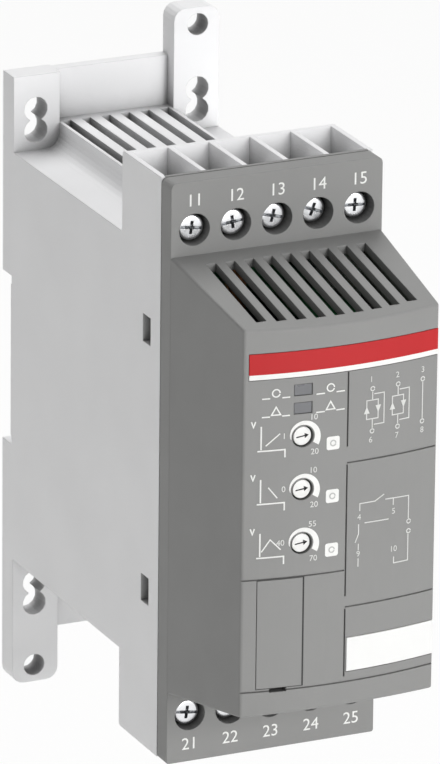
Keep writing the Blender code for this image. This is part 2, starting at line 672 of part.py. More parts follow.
def front_cover():
    """The mid grey cover with the terminal faces, the sloped vents and the bowed panel."""
    corners = [(HALF_WIDTH, HALF_HEIGHT, UPPER_CORNER), (-HALF_WIDTH, HALF_HEIGHT, UPPER_CORNER)]
    corners += [(-HALF_WIDTH, -HALF_HEIGHT, LOWER_CORNER), (HALF_WIDTH, -HALF_HEIGHT, LOWER_CORNER)]
    flange = sweep(rounded(corners), COVER_START, FACE_FORWARD)
    made = piece("front_cover", flange, MID_GREY)
    round_edges(made, EDGE_ROUND)
    outer_nose = add(made, nose(0, FACE_FORWARD - OVERLAP), "nose")
    round_edges(outer_nose, EDGE_ROUND)

    inner = HALF_WIDTH - WALL
    cut(made, block(-inner, inner, COVER_START - OVERLAP, FACE_FORWARD - FACE_WALL, WALL - HALF_HEIGHT,
                    HALF_HEIGHT - WALL), "face_cavity")
    collars, holes = [], []
    for _, column, row in terminals():
        centre = (column_x(column), row * TERMINAL_HEIGHT)
        collars.append(sweep(circle(centre, COLLAR_RADIUS, 16), FACE_FORWARD - COLLAR_LENGTH,
                             FACE_FORWARD - FACE_WALL / 2))
        holes.append(sweep(circle(centre, SCREW_HOLE_RADIUS, 24), COVER_START - OVERLAP,
                           FACE_FORWARD + OVERLAP))
    add(made, joined(collars), "collars")
    cut(made, nose(WALL, COVER_START - 2 * OVERLAP), "nose_cavity")
    cut(made, joined(holes), "screw_holes")
    tongues = [snap_tongue(side, z) for side in (-1, 1) for z in (TONGUE_HEIGHT, -TONGUE_HEIGHT)]
    add(made, joined(tongues), "tongues")
    for name, side in (("left_rib", -1), ("right_rib", 1)):
        wall = nose_side(CONTROL_BOARD_FRONT) - WALL
        x0, x1 = sorted((side * (wall - RAIL_RIB), side * (wall + WALL / 2)))
        add(made, block(x0, x1, CONTROL_BOARD_FRONT + GAP, CONTROL_BOARD_FRONT + GAP + RAIL_RIB,
                        -RIB_LENGTH / 2, RIB_LENGTH / 2), name)
    cut(made, slope_slots(), "slope_slots")
    return made


def cover_details(made):
    """The panel's recesses, grooves and holes."""
    past = PANEL_HALF + OVERLAP
    floor = STRIP_THICKNESS + FINE_GAP
    recesses = []
    for left, top, height in ((STRIP_LEFT, STRIP_TOP, STRIP_HEIGHT), (LABEL_LEFT, LABEL_TOP, LABEL_HEIGHT)):
        recesses.append(panel_slab(left - FINE_GAP, past, top - height - FINE_GAP, top + FINE_GAP, OVERLAP,
                                   floor))
    cut(made, joined(recesses), "label_recesses")
    across, down = panel_grooves()
    cut(made, across, "grooves_across")
    cut(made, down, "grooves_down")

    through = DEPTH - 3 * WALL
    holes = [sweep(circle((DIAL_X, z * MM), DIAL_RADIUS + GAP, 24), through, DEPTH + OVERLAP)
             for z in DIAL_HEIGHTS]
    wide, high = LIGHT_WIDTH / 2 + FINE_GAP, LIGHT_HEIGHT / 2 + FINE_GAP
    holes += [block(LIGHT_X - wide, LIGHT_X + wide, through, DEPTH + OVERLAP, z * MM - high, z * MM + high)
              for z in LIGHT_HEIGHTS]
    cut(made, joined(holes), "panel_holes")
    cut(made, panel_slab(LID_LEFT - FINE_GAP, LID_RIGHT + FINE_GAP, LID_BOTTOM - FINE_GAP, LID_TOP + FINE_GAP,
                         OVERLAP, LID_THICKNESS + FINE_GAP, 4), "lid_seat")
    cut(made, block(LID_LEFT + LID_SEAT, LID_RIGHT - LID_SEAT, through, DEPTH + OVERLAP,
                    LID_BOTTOM + LID_SEAT,
                    LID_TOP - LID_SEAT), "lid_window")
    middle = (LID_LEFT + LID_RIGHT) / 2 - GAP
    cut(made, block(middle - PRY_SLOT_WIDTH / 2, middle + PRY_SLOT_WIDTH / 2, DEPTH - 2 * WALL,
                    DEPTH + OVERLAP,
                    LID_BOTTOM - PRY_SLOT_HEIGHT, LID_BOTTOM + FINE_GAP), "pry_slot")


def panel_strips():
    """The red title strip and the white marking label, in their recesses."""
    edge = PANEL_HALF - FINE_GAP
    for name, left, top, height, colour in (("title_strip", STRIP_LEFT, STRIP_TOP, STRIP_HEIGHT, RED),
                                            ("marking_label", LABEL_LEFT, LABEL_TOP, LABEL_HEIGHT, WHITE)):
        piece(name, panel_slab(left, edge, top - height, top, 0, STRIP_THICKNESS), colour, 0.4)


def screw_profile(head_forward):
    """The turned profile of a terminal screw, from its tip to its head's top at head_forward."""
    tip = head_forward - FOOT_REACH
    shoulder = tip + FOOT_THICKNESS + GAP
    under = head_forward - HEAD_HEIGHT
    crown = HEAD_HEIGHT / 5
    return [(tip, 0), (tip, TIP_RADIUS), (shoulder, TIP_RADIUS), (shoulder, SHANK_RADIUS), (under,
                                                                                            SHANK_RADIUS),
            (under, HEAD_RADIUS), (head_forward - crown, HEAD_RADIUS), (head_forward, HEAD_RADIUS - crown),
            (head_forward, 0)]


def recess_outline():
    """The combined slot and cross in a screw's head, with the slot across."""
    s, w, c, v = SLOT_LENGTH / 2, SLOT_WIDTH / 2, CROSS_LENGTH / 2, CROSS_WIDTH / 2
    quarter = [(s, w), (v, w), (v, c)]
    upper = quarter + [(-x, z) for x, z in reversed(quarter)]
    return upper + [(-x, -z) for x, z in upper]


def terminal_screw(number, column, row):
    """A screw with its origin on its axis."""
    head_forward = FACE_FORWARD - HEAD_DEPTHS[column] * MM
    made = piece(f"terminal_screw_{number}", turned(screw_profile(head_forward), 16), ZINC, 0.3, 1.0,
                 at=(column_x(column), 0, row * TERMINAL_HEIGHT), smooth=True)
    cut(made, sweep(recess_outline(), head_forward - RECESS_IN_HEAD, head_forward + OVERLAP),
        f"recess_{number}")
    made.rotation_euler.y = math.radians(HEAD_TURNS[column])


def clamp_foot(number, column, row):
    """The foot on a screw's tip, which presses the wire on the contact bar."""
    start = FACE_FORWARD - HEAD_DEPTHS[column] * MM - FOOT_REACH
    half_width, half_height = BAR_WIDTH / 2, CAGE_HEIGHT / 2 - 2 * GAP
    foot = block(-half_width, half_width, start, start + FOOT_THICKNESS, -half_height, half_height)
    made = piece(f"clamp_foot_{number}", foot, ZINC, 0.35, 1.0, at=(column_x(column), 0,
                                                                    row * TERMINAL_HEIGHT))
    tip_hole = sweep(circle((0, 0), TIP_RADIUS + THREAD_PLAY, 12), start - OVERLAP,
                     start + FOOT_THICKNESS + OVERLAP)
    cut(made, tip_hole, f"tip_hole_{number}")


def terminal_cage(number, column, row):
    """The steel cage round the wire, threaded in its thick front wall."""
    x, z = CAGE_WIDTH / 2, CAGE_HEIGHT / 2
    made = piece(f"terminal_cage_{number}", block(-x, x, CAGE_START, CAGE_END, -z, z), ZINC, 0.4, 1.0,
                 at=(column_x(column), 0, row * TERMINAL_HEIGHT))
    cut(made, block(CAGE_SIDE - x, x - CAGE_SIDE, CAGE_START + CAGE_BACK, CAGE_END - CAGE_FRONT, -z - OVERLAP,
                    z + OVERLAP), f"wire_space_{number}")
    cut(made, sweep(circle((0, 0), SHANK_RADIUS + THREAD_PLAY, 16), CAGE_END - CAGE_FRONT - OVERLAP,
                    CAGE_END + OVERLAP), f"thread_{number}")


def contact_bar(number, column, row):
    """A bent bar from the clamp, through the chamber's floor, back to the power board."""
    front = BAR_START + BAR_THICKNESS
    top, foot = TERMINAL_HEIGHT + CAGE_HEIGHT / 2, POWER_BOARD_HEIGHT / 2 - BAR_BEND
    corners = [(front, top, 0), (BAR_START, top, 0), (BAR_START, foot, BAR_BEND / 2)]
    corners += [(POWER_BOARD_FRONT + GAP, foot, 0), (POWER_BOARD_FRONT + GAP, foot - BAR_THICKNESS, 0)]
    corners += [(front, foot - BAR_THICKNESS, BAR_BEND / 2 + BAR_THICKNESS)]
    outline = [(forward, row * z) for forward, z in rounded(corners)]
    x = column_x(column)
    piece(f"contact_bar_{number}", sweep(outline, x - BAR_WIDTH / 2, x + BAR_WIDTH / 2, "x"), COPPER, 0.35,
          1.0)


def through_bar(column):
    """The straight bar of the phase that is not switched, from the upper terminal to the lower one."""
    reach, x = TERMINAL_HEIGHT + CAGE_HEIGHT / 2, column_x(column)
    piece("through_bar", block(x - BAR_WIDTH / 2, x + BAR_WIDTH / 2, BAR_START, BAR_START + BAR_THICKNESS,
                               -reach,
                               reach), COPPER, 0.35, 1.0)


def dial(name, z):
    """A trimmer's rotor, with an arrow slot that points to the right."""
    face = panel_forward(DIAL_X) - DIAL_SINK
    start = CONTROL_BOARD_FRONT + TRIMMER_DEPTH + GAP - TRIMMER_DEPTH / 2
    neck = face - DIAL_DISC
    profile = [(start, 0), (start, DIAL_STEM_RADIUS), (neck, DIAL_STEM_RADIUS), (neck, DIAL_RADIUS)]
    profile += [(face - DIAL_SINK, DIAL_RADIUS), (face, DIAL_RADIUS - DIAL_SINK), (face, 0)]
    made = piece(name, turned(profile, 24), WHITE, 0.45, at=(DIAL_X, 0, z), smooth=True)
    long, head, thin = DIAL_RADIUS * 0.72, DIAL_RADIUS * 0.5, DIAL_RADIUS * 0.16
    arrow = [(-long, -thin), (0, -thin), (0, -head), (long, 0), (0, head), (0, thin), (-long, thin)]
    cut(made, sweep(arrow, face - ARROW_DEPTH, face + OVERLAP), f"arrow_of_{name}")


def light_pipe(name, z):
    """A clear bar from the control board to its window in the panel."""
    left, right = LIGHT_X - LIGHT_WIDTH / 2, LIGHT_X + LIGHT_WIDTH / 2
    plan = [(left, CONTROL_BOARD_FRONT + GAP), (right, CONTROL_BOARD_FRONT + GAP)]
    plan += [(x, panel_forward(x, FINE_GAP)) for x in (right, LIGHT_X, left)]
    piece(name, sweep(plan, z - LIGHT_HEIGHT / 2, z + LIGHT_HEIGHT / 2, "z"), SMOKE, 0.2)


def connector_cover():
    """The lid in the panel's lower left corner, with a rim that goes into the window behind it."""
    lid = panel_slab(LID_LEFT, LID_RIGHT, LID_BOTTOM, LID_TOP, 0, LID_THICKNESS, 4)
    made = piece("connector_cover", lid, MID_GREY)
    x0, x1 = LID_LEFT + LID_SEAT + GAP, LID_RIGHT - LID_SEAT - GAP
    z0, z1 = LID_BOTTOM + LID_SEAT + GAP, LID_TOP - LID_SEAT - GAP
    back = panel_forward(LID_LEFT) - LID_THICKNESS - LID_RIM
    add(made, block(x0, x1, back, back + LID_RIM + LID_THICKNESS / 2, z0, z1), "lid_rim")
    cut(made, block(x0 + LID_RIM, x1 - LID_RIM, back - OVERLAP, back + LID_RIM, z0 + LID_RIM, z1 - LID_RIM),
        "lid_hollow")


def connector_socket():
    """The socket that the lid covers, with a row of pins."""
    margin = LID_SEAT + LID_RIM
    x0, x1, z0, z1 = LID_LEFT + margin, LID_RIGHT - margin + GAP, LID_BOTTOM + margin, LID_TOP - margin
    start = CONTROL_BOARD_FRONT + GAP
    side = SOCKET_WALL - GAP
    made = piece("connector_socket", block(x0 - side, x1 + side, start, start + SOCKET_DEPTH,
                                           z0 - SOCKET_WALL,
                                           z1 + SOCKET_WALL), BLACK, 0.5)
    cut(made, block(x0, x1, start + SOCKET_FLOOR, start + SOCKET_DEPTH + OVERLAP, z0, z1), "plug_space")
    middle, pitch = (x0 + x1) / 2, (z1 - z0) / SOCKET_PINS
    pins = []
    for pin in range(SOCKET_PINS):
        z = z0 + (pin + 0.5) * pitch
        pins.append(block(middle - PIN_SIZE / 2, middle + PIN_SIZE / 2, start + SOCKET_FLOOR / 2,
                          start + SOCKET_FLOOR * 2, z - PIN_SIZE / 2, z + PIN_SIZE / 2))
    add(made, joined(pins), "pins")


def din_latch():
    """The sprung slider, with a nose behind the rail and a tail with a slot to pull it down."""
    low, shoulder, tip = TAIL_DROP - PLATE_HEIGHT / 2, -RECESS_HALF - RAIL_LIP - 2 * GAP, -RAIL_TIP
    flange_back = LATCH_FRONT - LATCH_FLANGE
    rib, flange, tail = LATCH_RIB_WIDTH / 2, LATCH_WIDTH / 2, TAIL_WIDTH / 2
    section = [(rib, LATCH_BACK), (rib, flange_back), (flange, flange_back), (flange, LATCH_FRONT)]
    section += [(-x, forward) for x, forward in reversed(section)]
    made = piece("din_latch", sweep(section, low, tip, "z"), BLACK, 0.5, at=(0, 0, PLATE_MIDDLE))
    for name, side in (("left_shoulder", -1), ("right_shoulder", 1)):
        x0, x1 = sorted((side * (rib - GAP), side * (flange + OVERLAP)))
        cut(made, block(x0, x1, -OVERLAP, LATCH_FRONT + OVERLAP, shoulder, tip + OVERLAP), name)
    ramp = [(LATCH_BACK - OVERLAP, tip - 2 * OVERLAP), (LATCH_BACK + OVERLAP, tip), (LATCH_BACK + OVERLAP, 0)]
    cut(made, sweep(ramp + [(LATCH_BACK - OVERLAP, 0)], -flange, flange, "x"), "ramp")
    past = flange + OVERLAP
    round_tail = [(tail, -OVERLAP), (past, -OVERLAP), (past, LATCH_FRONT + OVERLAP), (-past,
                                                                                      LATCH_FRONT + OVERLAP)]
    round_tail += [(-past, -OVERLAP), (-tail, -OVERLAP), (-tail, TAIL_FRONT), (tail, TAIL_FRONT)]
    cut(made, sweep(round_tail, low - OVERLAP, LATCH_FLANGE_LOW, "z"), "round_the_tail")
    window = SPRING_RADIUS + SPRING_WIRE + GAP
    cut(made, block(-window, window, -OVERLAP, LATCH_FRONT + OVERLAP, SPRING_LOW - LATCH_TRAVEL - GAP,
                    SPRING_LOW + SPRING_LENGTH + GAP), "spring_window")
    cut(made, block(-tail / 2, tail / 2, -OVERLAP, TAIL_FRONT + OVERLAP, low + PULL_SLOT_HEIGHT,
                    low + 2 * PULL_SLOT_HEIGHT), "pull_slot")


def latch_spring():
    """The coil spring that pushes the latch up, half in its pocket and half in the latch window."""
    rise = (SPRING_LENGTH - 2 * SPRING_WIRE) / SPRING_TURNS
    per_turn, sides = 10, 5
    rings = []
    for step in range(SPRING_TURNS * per_turn + 1):
        angle = 2 * math.pi * step / per_turn
        out = Vector((math.cos(angle), math.sin(angle), 0))
        centre = out * SPRING_RADIUS + Vector((0, 0, SPRING_WIRE + rise * step / per_turn))
        ring = [2 * math.pi * side / sides for side in range(sides)]
        rings.append([centre + (out * math.cos(t) + Vector((0, 0,
                                                            1)) * math.sin(t)) * SPRING_WIRE for t in ring])
    piece("latch_spring", loft(rings), ZINC, 0.3, 1.0, at=(0, -SPRING_CENTRE, SPRING_LOW + PLATE_MIDDLE),
          smooth=True)


def heat_sink():
    """An extruded aluminium heat sink: a base plate with fins that reach to the housing's back wall."""
    half, base = HALF_WIDTH - WALL - GAP, SINK_END - SINK_BASE
    pitch = (2 * half - FIN_THICKNESS) / (SINK_FINS - 1)
    outline = [(-half, SINK_END), (half, SINK_END)]
    for fin in reversed(range(SINK_FINS)):
        left = fin * pitch - half
        outline += [(left + FIN_THICKNESS, base), (left + FIN_THICKNESS, SINK_START), (left, SINK_START)]
        outline += [(left, base)]
    outline = outline[:2] + outline[3:-1]
    piece("heat_sink", sweep(outline, -SINK_HEIGHT / 2, SINK_HEIGHT / 2, "z"), ALUMINIUM, 0.4, 1.0)


def thyristor(number, z):
    """A power module on the heat sink, with three leads to the power board."""
    start, half = SINK_END + GAP, THYRISTOR_WIDTH / 2
    edge, end, chamfer = start + THYRISTOR_DEPTH / 3, start + THYRISTOR_DEPTH, THYRISTOR_DEPTH / 4
    plan = [(-half, start), (half, start), (half, edge), (half - chamfer, end), (chamfer - half, end),
            (-half, edge)]
    case = sweep(plan, z - THYRISTOR_HEIGHT / 2, z + THYRISTOR_HEIGHT / 2, "z")
    made = piece(f"thyristor_{number}", case, BLACK, 0.4)
    leads = [block(x - LEAD_SIZE / 2, x + LEAD_SIZE / 2, start + THYRISTOR_DEPTH / 2,
                   POWER_BOARD_FORWARD - GAP,
                   z - LEAD_SIZE / 2, z + LEAD_SIZE / 2) for x in (-LEAD_PITCH, 0, LEAD_PITCH)]
    add(made, joined(leads), f"leads_{number}")


def power_board():
    """The board that the contact bars and the leads end on, between the housing's side walls."""
    half = HALF_WIDTH - WALL - GAP
    piece("power_board", block(-half, half, POWER_BOARD_FORWARD, POWER_BOARD_FRONT, -POWER_BOARD_HEIGHT / 2,
                               POWER_BOARD_HEIGHT / 2), GREEN, 0.5)


def bypass_relay(number, side):
    """A sealed relay that carries the motor current once the ramp has ended."""
    x0, x1 = sorted((side * RELAY_START, side * RELAY_END))
    start = POWER_BOARD_FRONT + GAP
    case = block(x0, x1, start, start + RELAY_DEPTH, RELAY_Z - RELAY_HEIGHT / 2, RELAY_Z + RELAY_HEIGHT / 2)
    made = piece(f"bypass_relay_{number}", case, BLACK, 0.45)
    round_edges(made, EDGE_ROUND, 1)


def transformer():
    """The supply transformer: a core with a leg on each side of its winding."""
    start = POWER_BOARD_FRONT + GAP
    made = piece("transformer", block(-CORE_WIDTH / 2, CORE_WIDTH / 2, start, start + CORE_DEPTH / 2,
                                      CORE_Z - CORE_HEIGHT / 2, CORE_Z + CORE_HEIGHT / 2), BRASS, 0.5)
    legs = []
    for z0, z1 in ((-CORE_HEIGHT / 2, CORE_LEG - CORE_HEIGHT / 2), (-WINDING_HEIGHT / 2, WINDING_HEIGHT / 2),
                   (CORE_HEIGHT / 2 - CORE_LEG, CORE_HEIGHT / 2)):
        half = CORE_WIDTH / 2 if z0 == -WINDING_HEIGHT / 2 else CORE_WIDTH / 3
        legs.append(block(-half, half, start + CORE_DEPTH / 4, start + CORE_DEPTH, CORE_Z + z0, CORE_Z + z1))
    add(made, joined(legs), "legs")


def control_board():
    """The board behind the panel, with the trimmers' cases and the link plate back to the power board."""
    half, reach = nose_side(CONTROL_BOARD_FRONT) - WALL - GAP, BOARD_MARGIN - LID_BOTTOM
    board_middle = CONTROL_BOARD_FRONT - BOARD_THICKNESS / 2
    made = piece("control_board", block(-half, half, CONTROL_BOARD_FORWARD, CONTROL_BOARD_FRONT, -reach,
                                        reach),
                 GREEN, 0.5)
    add(made, block(LINK_LEFT, LINK_LEFT + LINK_WIDTH, POWER_BOARD_FRONT + GAP, board_middle,
                    LINK_HEIGHT - BOARD_THICKNESS, LINK_HEIGHT), "link_plate")
    cases, stems = [], []
    for z in DIAL_HEIGHTS:
        cases.append(block(DIAL_X - TRIMMER_SIZE / 2, DIAL_X + TRIMMER_SIZE / 2, board_middle,
                           CONTROL_BOARD_FRONT + TRIMMER_DEPTH, z * MM - TRIMMER_SIZE / 2,
                           z * MM + TRIMMER_SIZE / 2))
        stems.append(sweep(circle((DIAL_X, z * MM), DIAL_STEM_RADIUS + THREAD_PLAY, 16),
                           CONTROL_BOARD_FRONT + TRIMMER_DEPTH / 2,
                           CONTROL_BOARD_FRONT + TRIMMER_DEPTH + OVERLAP))
    add(made, joined(cases), "trimmer_cases")
    cut(made, joined(stems), "stem_holes")


def build():
    for old in list(bpy.data.objects):
        bpy.data.objects.remove(old)
    rear_housing()
    cover_details(front_cover())
    panel_strips()
    for number, column, row in terminals():
        terminal_screw(number, column, row)
        clamp_foot(number, column, row)
        terminal_cage(number, column, row)
        if column != COLUMNS // 2:
            contact_bar(number, column, row)
    through_bar(COLUMNS // 2)
    for name, z in zip(DIAL_NAMES, DIAL_HEIGHTS):
        dial(name, z * MM)
    for name, z in zip(LIGHT_NAMES, LIGHT_HEIGHTS):
        light_pipe(name, z * MM)
    connector_cover()
    connector_socket()
    din_latch()
    latch_spring()
    heat_sink()
    for number, z in enumerate(THYRISTOR_HEIGHTS, 1):
        thyristor(number, z * MM)
    power_board()
    for number, side in ((1, -1), (2, 1)):
        bypass_relay(number, side)
    transformer()
    control_board()


build()
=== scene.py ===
"""A dressed compact soft starter: moulded plastics, printed panel, finer screws and dials, and the stage."""
import math

import bmesh
import bpy
from bpy.props import FloatProperty, FloatVectorProperty, IntProperty, PointerProperty
from mathutils import Matrix, Vector


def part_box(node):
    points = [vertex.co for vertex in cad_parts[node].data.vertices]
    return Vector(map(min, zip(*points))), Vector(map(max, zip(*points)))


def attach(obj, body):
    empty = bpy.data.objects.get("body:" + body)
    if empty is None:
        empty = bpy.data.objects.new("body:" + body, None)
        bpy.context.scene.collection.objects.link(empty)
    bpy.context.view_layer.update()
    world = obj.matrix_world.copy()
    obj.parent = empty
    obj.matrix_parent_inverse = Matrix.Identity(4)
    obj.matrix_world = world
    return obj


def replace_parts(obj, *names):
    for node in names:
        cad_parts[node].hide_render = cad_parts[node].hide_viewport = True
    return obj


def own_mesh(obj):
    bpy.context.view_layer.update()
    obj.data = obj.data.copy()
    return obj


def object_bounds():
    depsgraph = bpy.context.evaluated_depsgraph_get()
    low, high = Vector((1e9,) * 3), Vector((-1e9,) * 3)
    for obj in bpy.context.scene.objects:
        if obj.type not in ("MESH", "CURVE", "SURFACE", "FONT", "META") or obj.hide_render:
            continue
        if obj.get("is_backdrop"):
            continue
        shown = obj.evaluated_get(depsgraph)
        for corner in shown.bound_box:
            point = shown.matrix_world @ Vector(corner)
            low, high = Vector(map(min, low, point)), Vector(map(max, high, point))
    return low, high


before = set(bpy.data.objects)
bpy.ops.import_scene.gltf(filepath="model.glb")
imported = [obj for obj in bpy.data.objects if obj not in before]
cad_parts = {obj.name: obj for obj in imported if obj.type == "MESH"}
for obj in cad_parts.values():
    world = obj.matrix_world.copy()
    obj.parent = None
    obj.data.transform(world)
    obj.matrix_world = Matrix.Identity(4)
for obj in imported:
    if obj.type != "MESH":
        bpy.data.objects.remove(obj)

bl_info = {
    "name": "Soft starter dressing",
    "version": (1, 0, 0),
    "blender": (4, 5, 0),
    "location": "3D View > Sidebar > Soft starter",
    "description": "Gives the soft starter its materials, printed panel, screws, dials and stage",
    "category": "Object",
}

MM = 0.001

# The cover's own box gives the places of everything that is printed on it. Its panel is bowed: PANEL_HALF is half
# its width and PANEL_SAG is how far its middle stands out. The flat terminal faces lie FACE_DROP behind it.
COVER_LOW, COVER_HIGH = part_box("front_cover")
MIDDLE_Z = (COVER_LOW.z + COVER_HIGH.z) / 2
PANEL_FRONT = COVER_LOW.y
PANEL_HALF = 20.6 * MM
PANEL_SAG = 2.3 * MM
PANEL_RADIUS = (PANEL_HALF ** 2 + PANEL_SAG ** 2) / (2 * PANEL_SAG)
FACE_DROP = 32.1 * MM

# Ink stands a little off its surface, and its lines take short steps so that they follow the bow.
PRINT_LIFT = 0.01 * MM
PRINT_THICKNESS = 0.03 * MM
LONGEST_STEP = 1.2 * MM

# Painted shade: a corner's colour is darkest where less than CORNER_SHUT of what is round it is open, and not
# darkened above CORNER_OPEN.
CORNER_REACH = 9 * MM
CORNER_SHUT, CORNER_OPEN = 0.2, 0.7

# The terminals: the heights of their numbers from the cover's middle, and each column's screw angle in degrees.
COLUMNS = 5
TERMINALS = range(1, 2 * COLUMNS + 1)
LABEL_HEIGHTS = {1: 56.1 * MM, -1: 56.4 * MM}
UPPER_NUMBERS = ["11", "12", "13", "14", "15"]
LOWER_NUMBERS = ["21", "22", "23", "24", "25"]
SCREW_TURNS = [8.0, -6.0, 14.0, 20.0, 4.0]

# The dials with the numbers round them, and the places of the symbols from the panel's middle.
DIALS = {"dial_start_ramp": ("1", "10", "20"), "dial_stop_ramp": ("0", "10", "20"),
         "dial_start_voltage": ("40", "55", "70")}
DIAL_TURN = -6.0
ICON_X = -17.1 * MM
SQUARE_X = -2.6 * MM
LIGHT_ROWS = [26.7 * MM, 23.0 * MM]
PANEL_NUMERAL = 1.2 * MM
SMALL_RING = 0.42 * MM

# The camera that was fitted to the photograph, its angles in degrees, and the lamps' places and widths in metres.
LENS, SENSOR = 408.39, 36.0
AZIMUTH, ELEVATION, ROLL = 24.762, 19.522, 0.624
CAMERA_PLACE = (-0.6756, -1.51693, 0.58102)
LAMP_TARGET = (0, -0.05, 0)
KEY_PLACE, TOP_PLACE = (0.39, -1.43, 0.35), (0.12, 0.36, 1.0)
LAMP_WIDTH = 0.6


def linear(hex_colour):
    """A linear colour from an sRGB hex value."""
    values = [int(hex_colour[i:i + 2], 16) / 255 for i in (1, 3, 5)]
    return tuple(v / 12.92 if v <= 0.04045 else ((v + 0.055) / 1.055) ** 2.4 for v in values)


# Sizes and colours that a user would change


def colour_setting(name, description, hex_colour):
    """A colour that can be picked."""
    return FloatVectorProperty(name=name, description=description, subtype="COLOR", size=3,
                               default=linear(hex_colour))


def length_setting(name, description, default):
    """A length, shown down to hundredths of a millimetre."""
    return FloatProperty(name=name, description=description, default=default, unit="LENGTH", precision=5)


class PlasticSettings(bpy.types.PropertyGroup):
    housing_colour: colour_setting("Housing", "Colour of the light grey housing", "#F2F2F3")
    cover_colour: colour_setting("Cover", "Colour of the mid grey front cover", "#8C8C8B")
    grain: length_setting("Grain", "Width of the spark-eroded grain of the mould", 0.35 * MM)
    edge: length_setting("Edge radius", "Radius that the moulded edges appear to have", 0.3 * MM)


class PrintSettings(bpy.types.PropertyGroup):
    ink: colour_setting("Ink", "Colour of the white print", "#E9E9E7")
    strip: colour_setting("Title strip", "Colour of the red strip", "#B61D21")
    line: length_setting("Line", "Width of a printed line", 0.26 * MM)
    numeral: length_setting("Terminal numeral", "Height of the numbers at the terminals", 2.55 * MM)


class HardwareSettings(bpy.types.PropertyGroup):
    pitch: length_setting("Thread pitch", "Rise of the screw thread in one turn", 0.6 * MM)
    sides: IntProperty(name="Sides", description="Sides of the turned heads", default=40, min=16, max=96)


class StageSettings(bpy.types.PropertyGroup):
    drop: length_setting("Floor drop", "Distance from the part's lowest point down to the floor", 60 * MM)
    key: FloatProperty(name="Key lamp", description="Power of the soft lamp in front", default=12.8)
    top: FloatProperty(name="Top lamp", description="Power of the large lamp above", default=5.6)
    sky: FloatProperty(name="Sky", description="Strength of the even light from all round", default=0.38)


# Materials


def add_node(tree, kind, inputs=None, **settings):
    """Adds a node, sets its settings, and fills its inputs with values or with other nodes' sockets."""
    made = tree.nodes.new("ShaderNode" + kind)
    for name, value in settings.items():
        setattr(made, name, value)
    for name, value in (inputs or {}).items():
        if isinstance(value, bpy.types.NodeSocket):
            tree.links.new(value, made.inputs[name])
        else:
            made.inputs[name].default_value = value
    return made


def surface(name, colour, roughness, metallic=0.0, **own):
    """A material with its shader, and values set on the shader's own sockets."""
    made = bpy.data.materials.get(name)
    if made:
        bpy.data.materials.remove(made)
    made = bpy.data.materials.new(name)
    made.use_nodes = True
    shader = made.node_tree.nodes["Principled BSDF"]
    values = {"Base Color": (*colour, 1.0), "Roughness": roughness, "Metallic": metallic}
    values.update({key.replace("_", " "): value for key, value in own.items()})
    for key, value in values.items():
        shader.inputs[key].default_value = value
    made.diffuse_color = (*colour, 1.0)
    return made, made.node_tree, shader


def mottled(tree, shader, place, colour, patch, spread):
    """Lets the colour drift a little in patches of a given size, as pigment does."""
    noise = add_node(tree, "TexNoise", {"Vector": place, "Scale": 1 / patch, "Detail": 2.0})
    value = add_node(tree, "MapRange", {"Value": noise.outputs["Fac"], "From Min": 0.3, "From Max": 0.7,
                                        "To Min": 1 - spread, "To Max": 1 + spread})
    tint = add_node(tree, "HueSaturation", {"Color": (*colour, 1.0), "Value": value.outputs["Result"]})
    tree.links.new(tint.outputs["Color"], shader.inputs["Base Color"])
    return tint


def two_colours(tree, shader, choice, first, second):
    """Shows the first colour where the choice is 0 and the second where it is 1."""
    mix = add_node(tree, "Mix", {0: choice, 6: first, 7: second}, data_type="RGBA")
    tree.links.new(mix.outputs[2], shader.inputs["Base Color"])


def painted_corner_shade(tree, tint, reach, least):
    """Painted shade: darkens the colour in deep corners, slots and holes, where little light gets in."""
    openness = add_node(tree, "AmbientOcclusion", {"Distance": reach}, samples=6)
    kept = add_node(tree, "MapRange", {"Value": openness.outputs["AO"], "From Min": CORNER_SHUT,
                                       "From Max": CORNER_OPEN, "To Min": least, "To Max": 1.0})
    before = tint.inputs["Value"].links[0].from_socket
    product = add_node(tree, "Math", {0: before, 1: kept.outputs["Result"]}, operation="MULTIPLY")
    tree.links.new(product.outputs[0], tint.inputs["Value"])


def uneven(tree, shader, place, patch, low, high):
    """Lets the roughness vary between two values in patches of a given size."""
    noise = add_node(tree, "TexNoise", {"Vector": place, "Scale": 1 / patch, "Detail": 3.0})
    value = add_node(tree, "MapRange", {"Value": noise.outputs["Fac"], "From Min": 0.3, "From Max": 0.7,
                                        "To Min": low, "To Max": high})
    tree.links.new(value.outputs["Result"], shader.inputs["Roughness"])


def relief(tree, shader, height, depth, edge=0.0):
    """Raises the surface by a height pattern, on edges that are softened by a radius."""
    inputs = {"Height": height, "Distance": depth, "Strength": 1.0}
    if edge:
        inputs["Normal"] = add_node(tree, "Bevel", {"Radius": edge}, samples=6).outputs["Normal"]
    bump = add_node(tree, "Bump", inputs)
    tree.links.new(bump.outputs["Normal"], shader.inputs["Normal"])


def moulded_plastic(name, colour, roughness=0.5, grain=0.35 * MM, depth=0.006 * MM, edge=0.3 * MM, corners=1.0,
                    **own):
    """An injection moulding: faintly clouded pigment, the mould's fine grain, softened edges and, where corners is
    below 1, painted shade that darkens its deep corners."""
    own.setdefault("IOR", 1.53)
    made, tree, shader = surface(name, colour, roughness, **own)
    place = add_node(tree, "TexCoord").outputs["Object"]
    tint = mottled(tree, shader, place, colour, 22 * MM, 0.018)
    if corners < 1:
        painted_corner_shade(tree, tint, CORNER_REACH, corners)
    uneven(tree, shader, place, 9 * MM, roughness - 0.05, roughness + 0.05)
    pits = add_node(tree, "TexNoise", {"Vector": place, "Scale": 1 / grain, "Detail": 4.0, "Roughness": 0.6})
    relief(tree, shader, pits.outputs["Fac"], depth, edge)
    return made


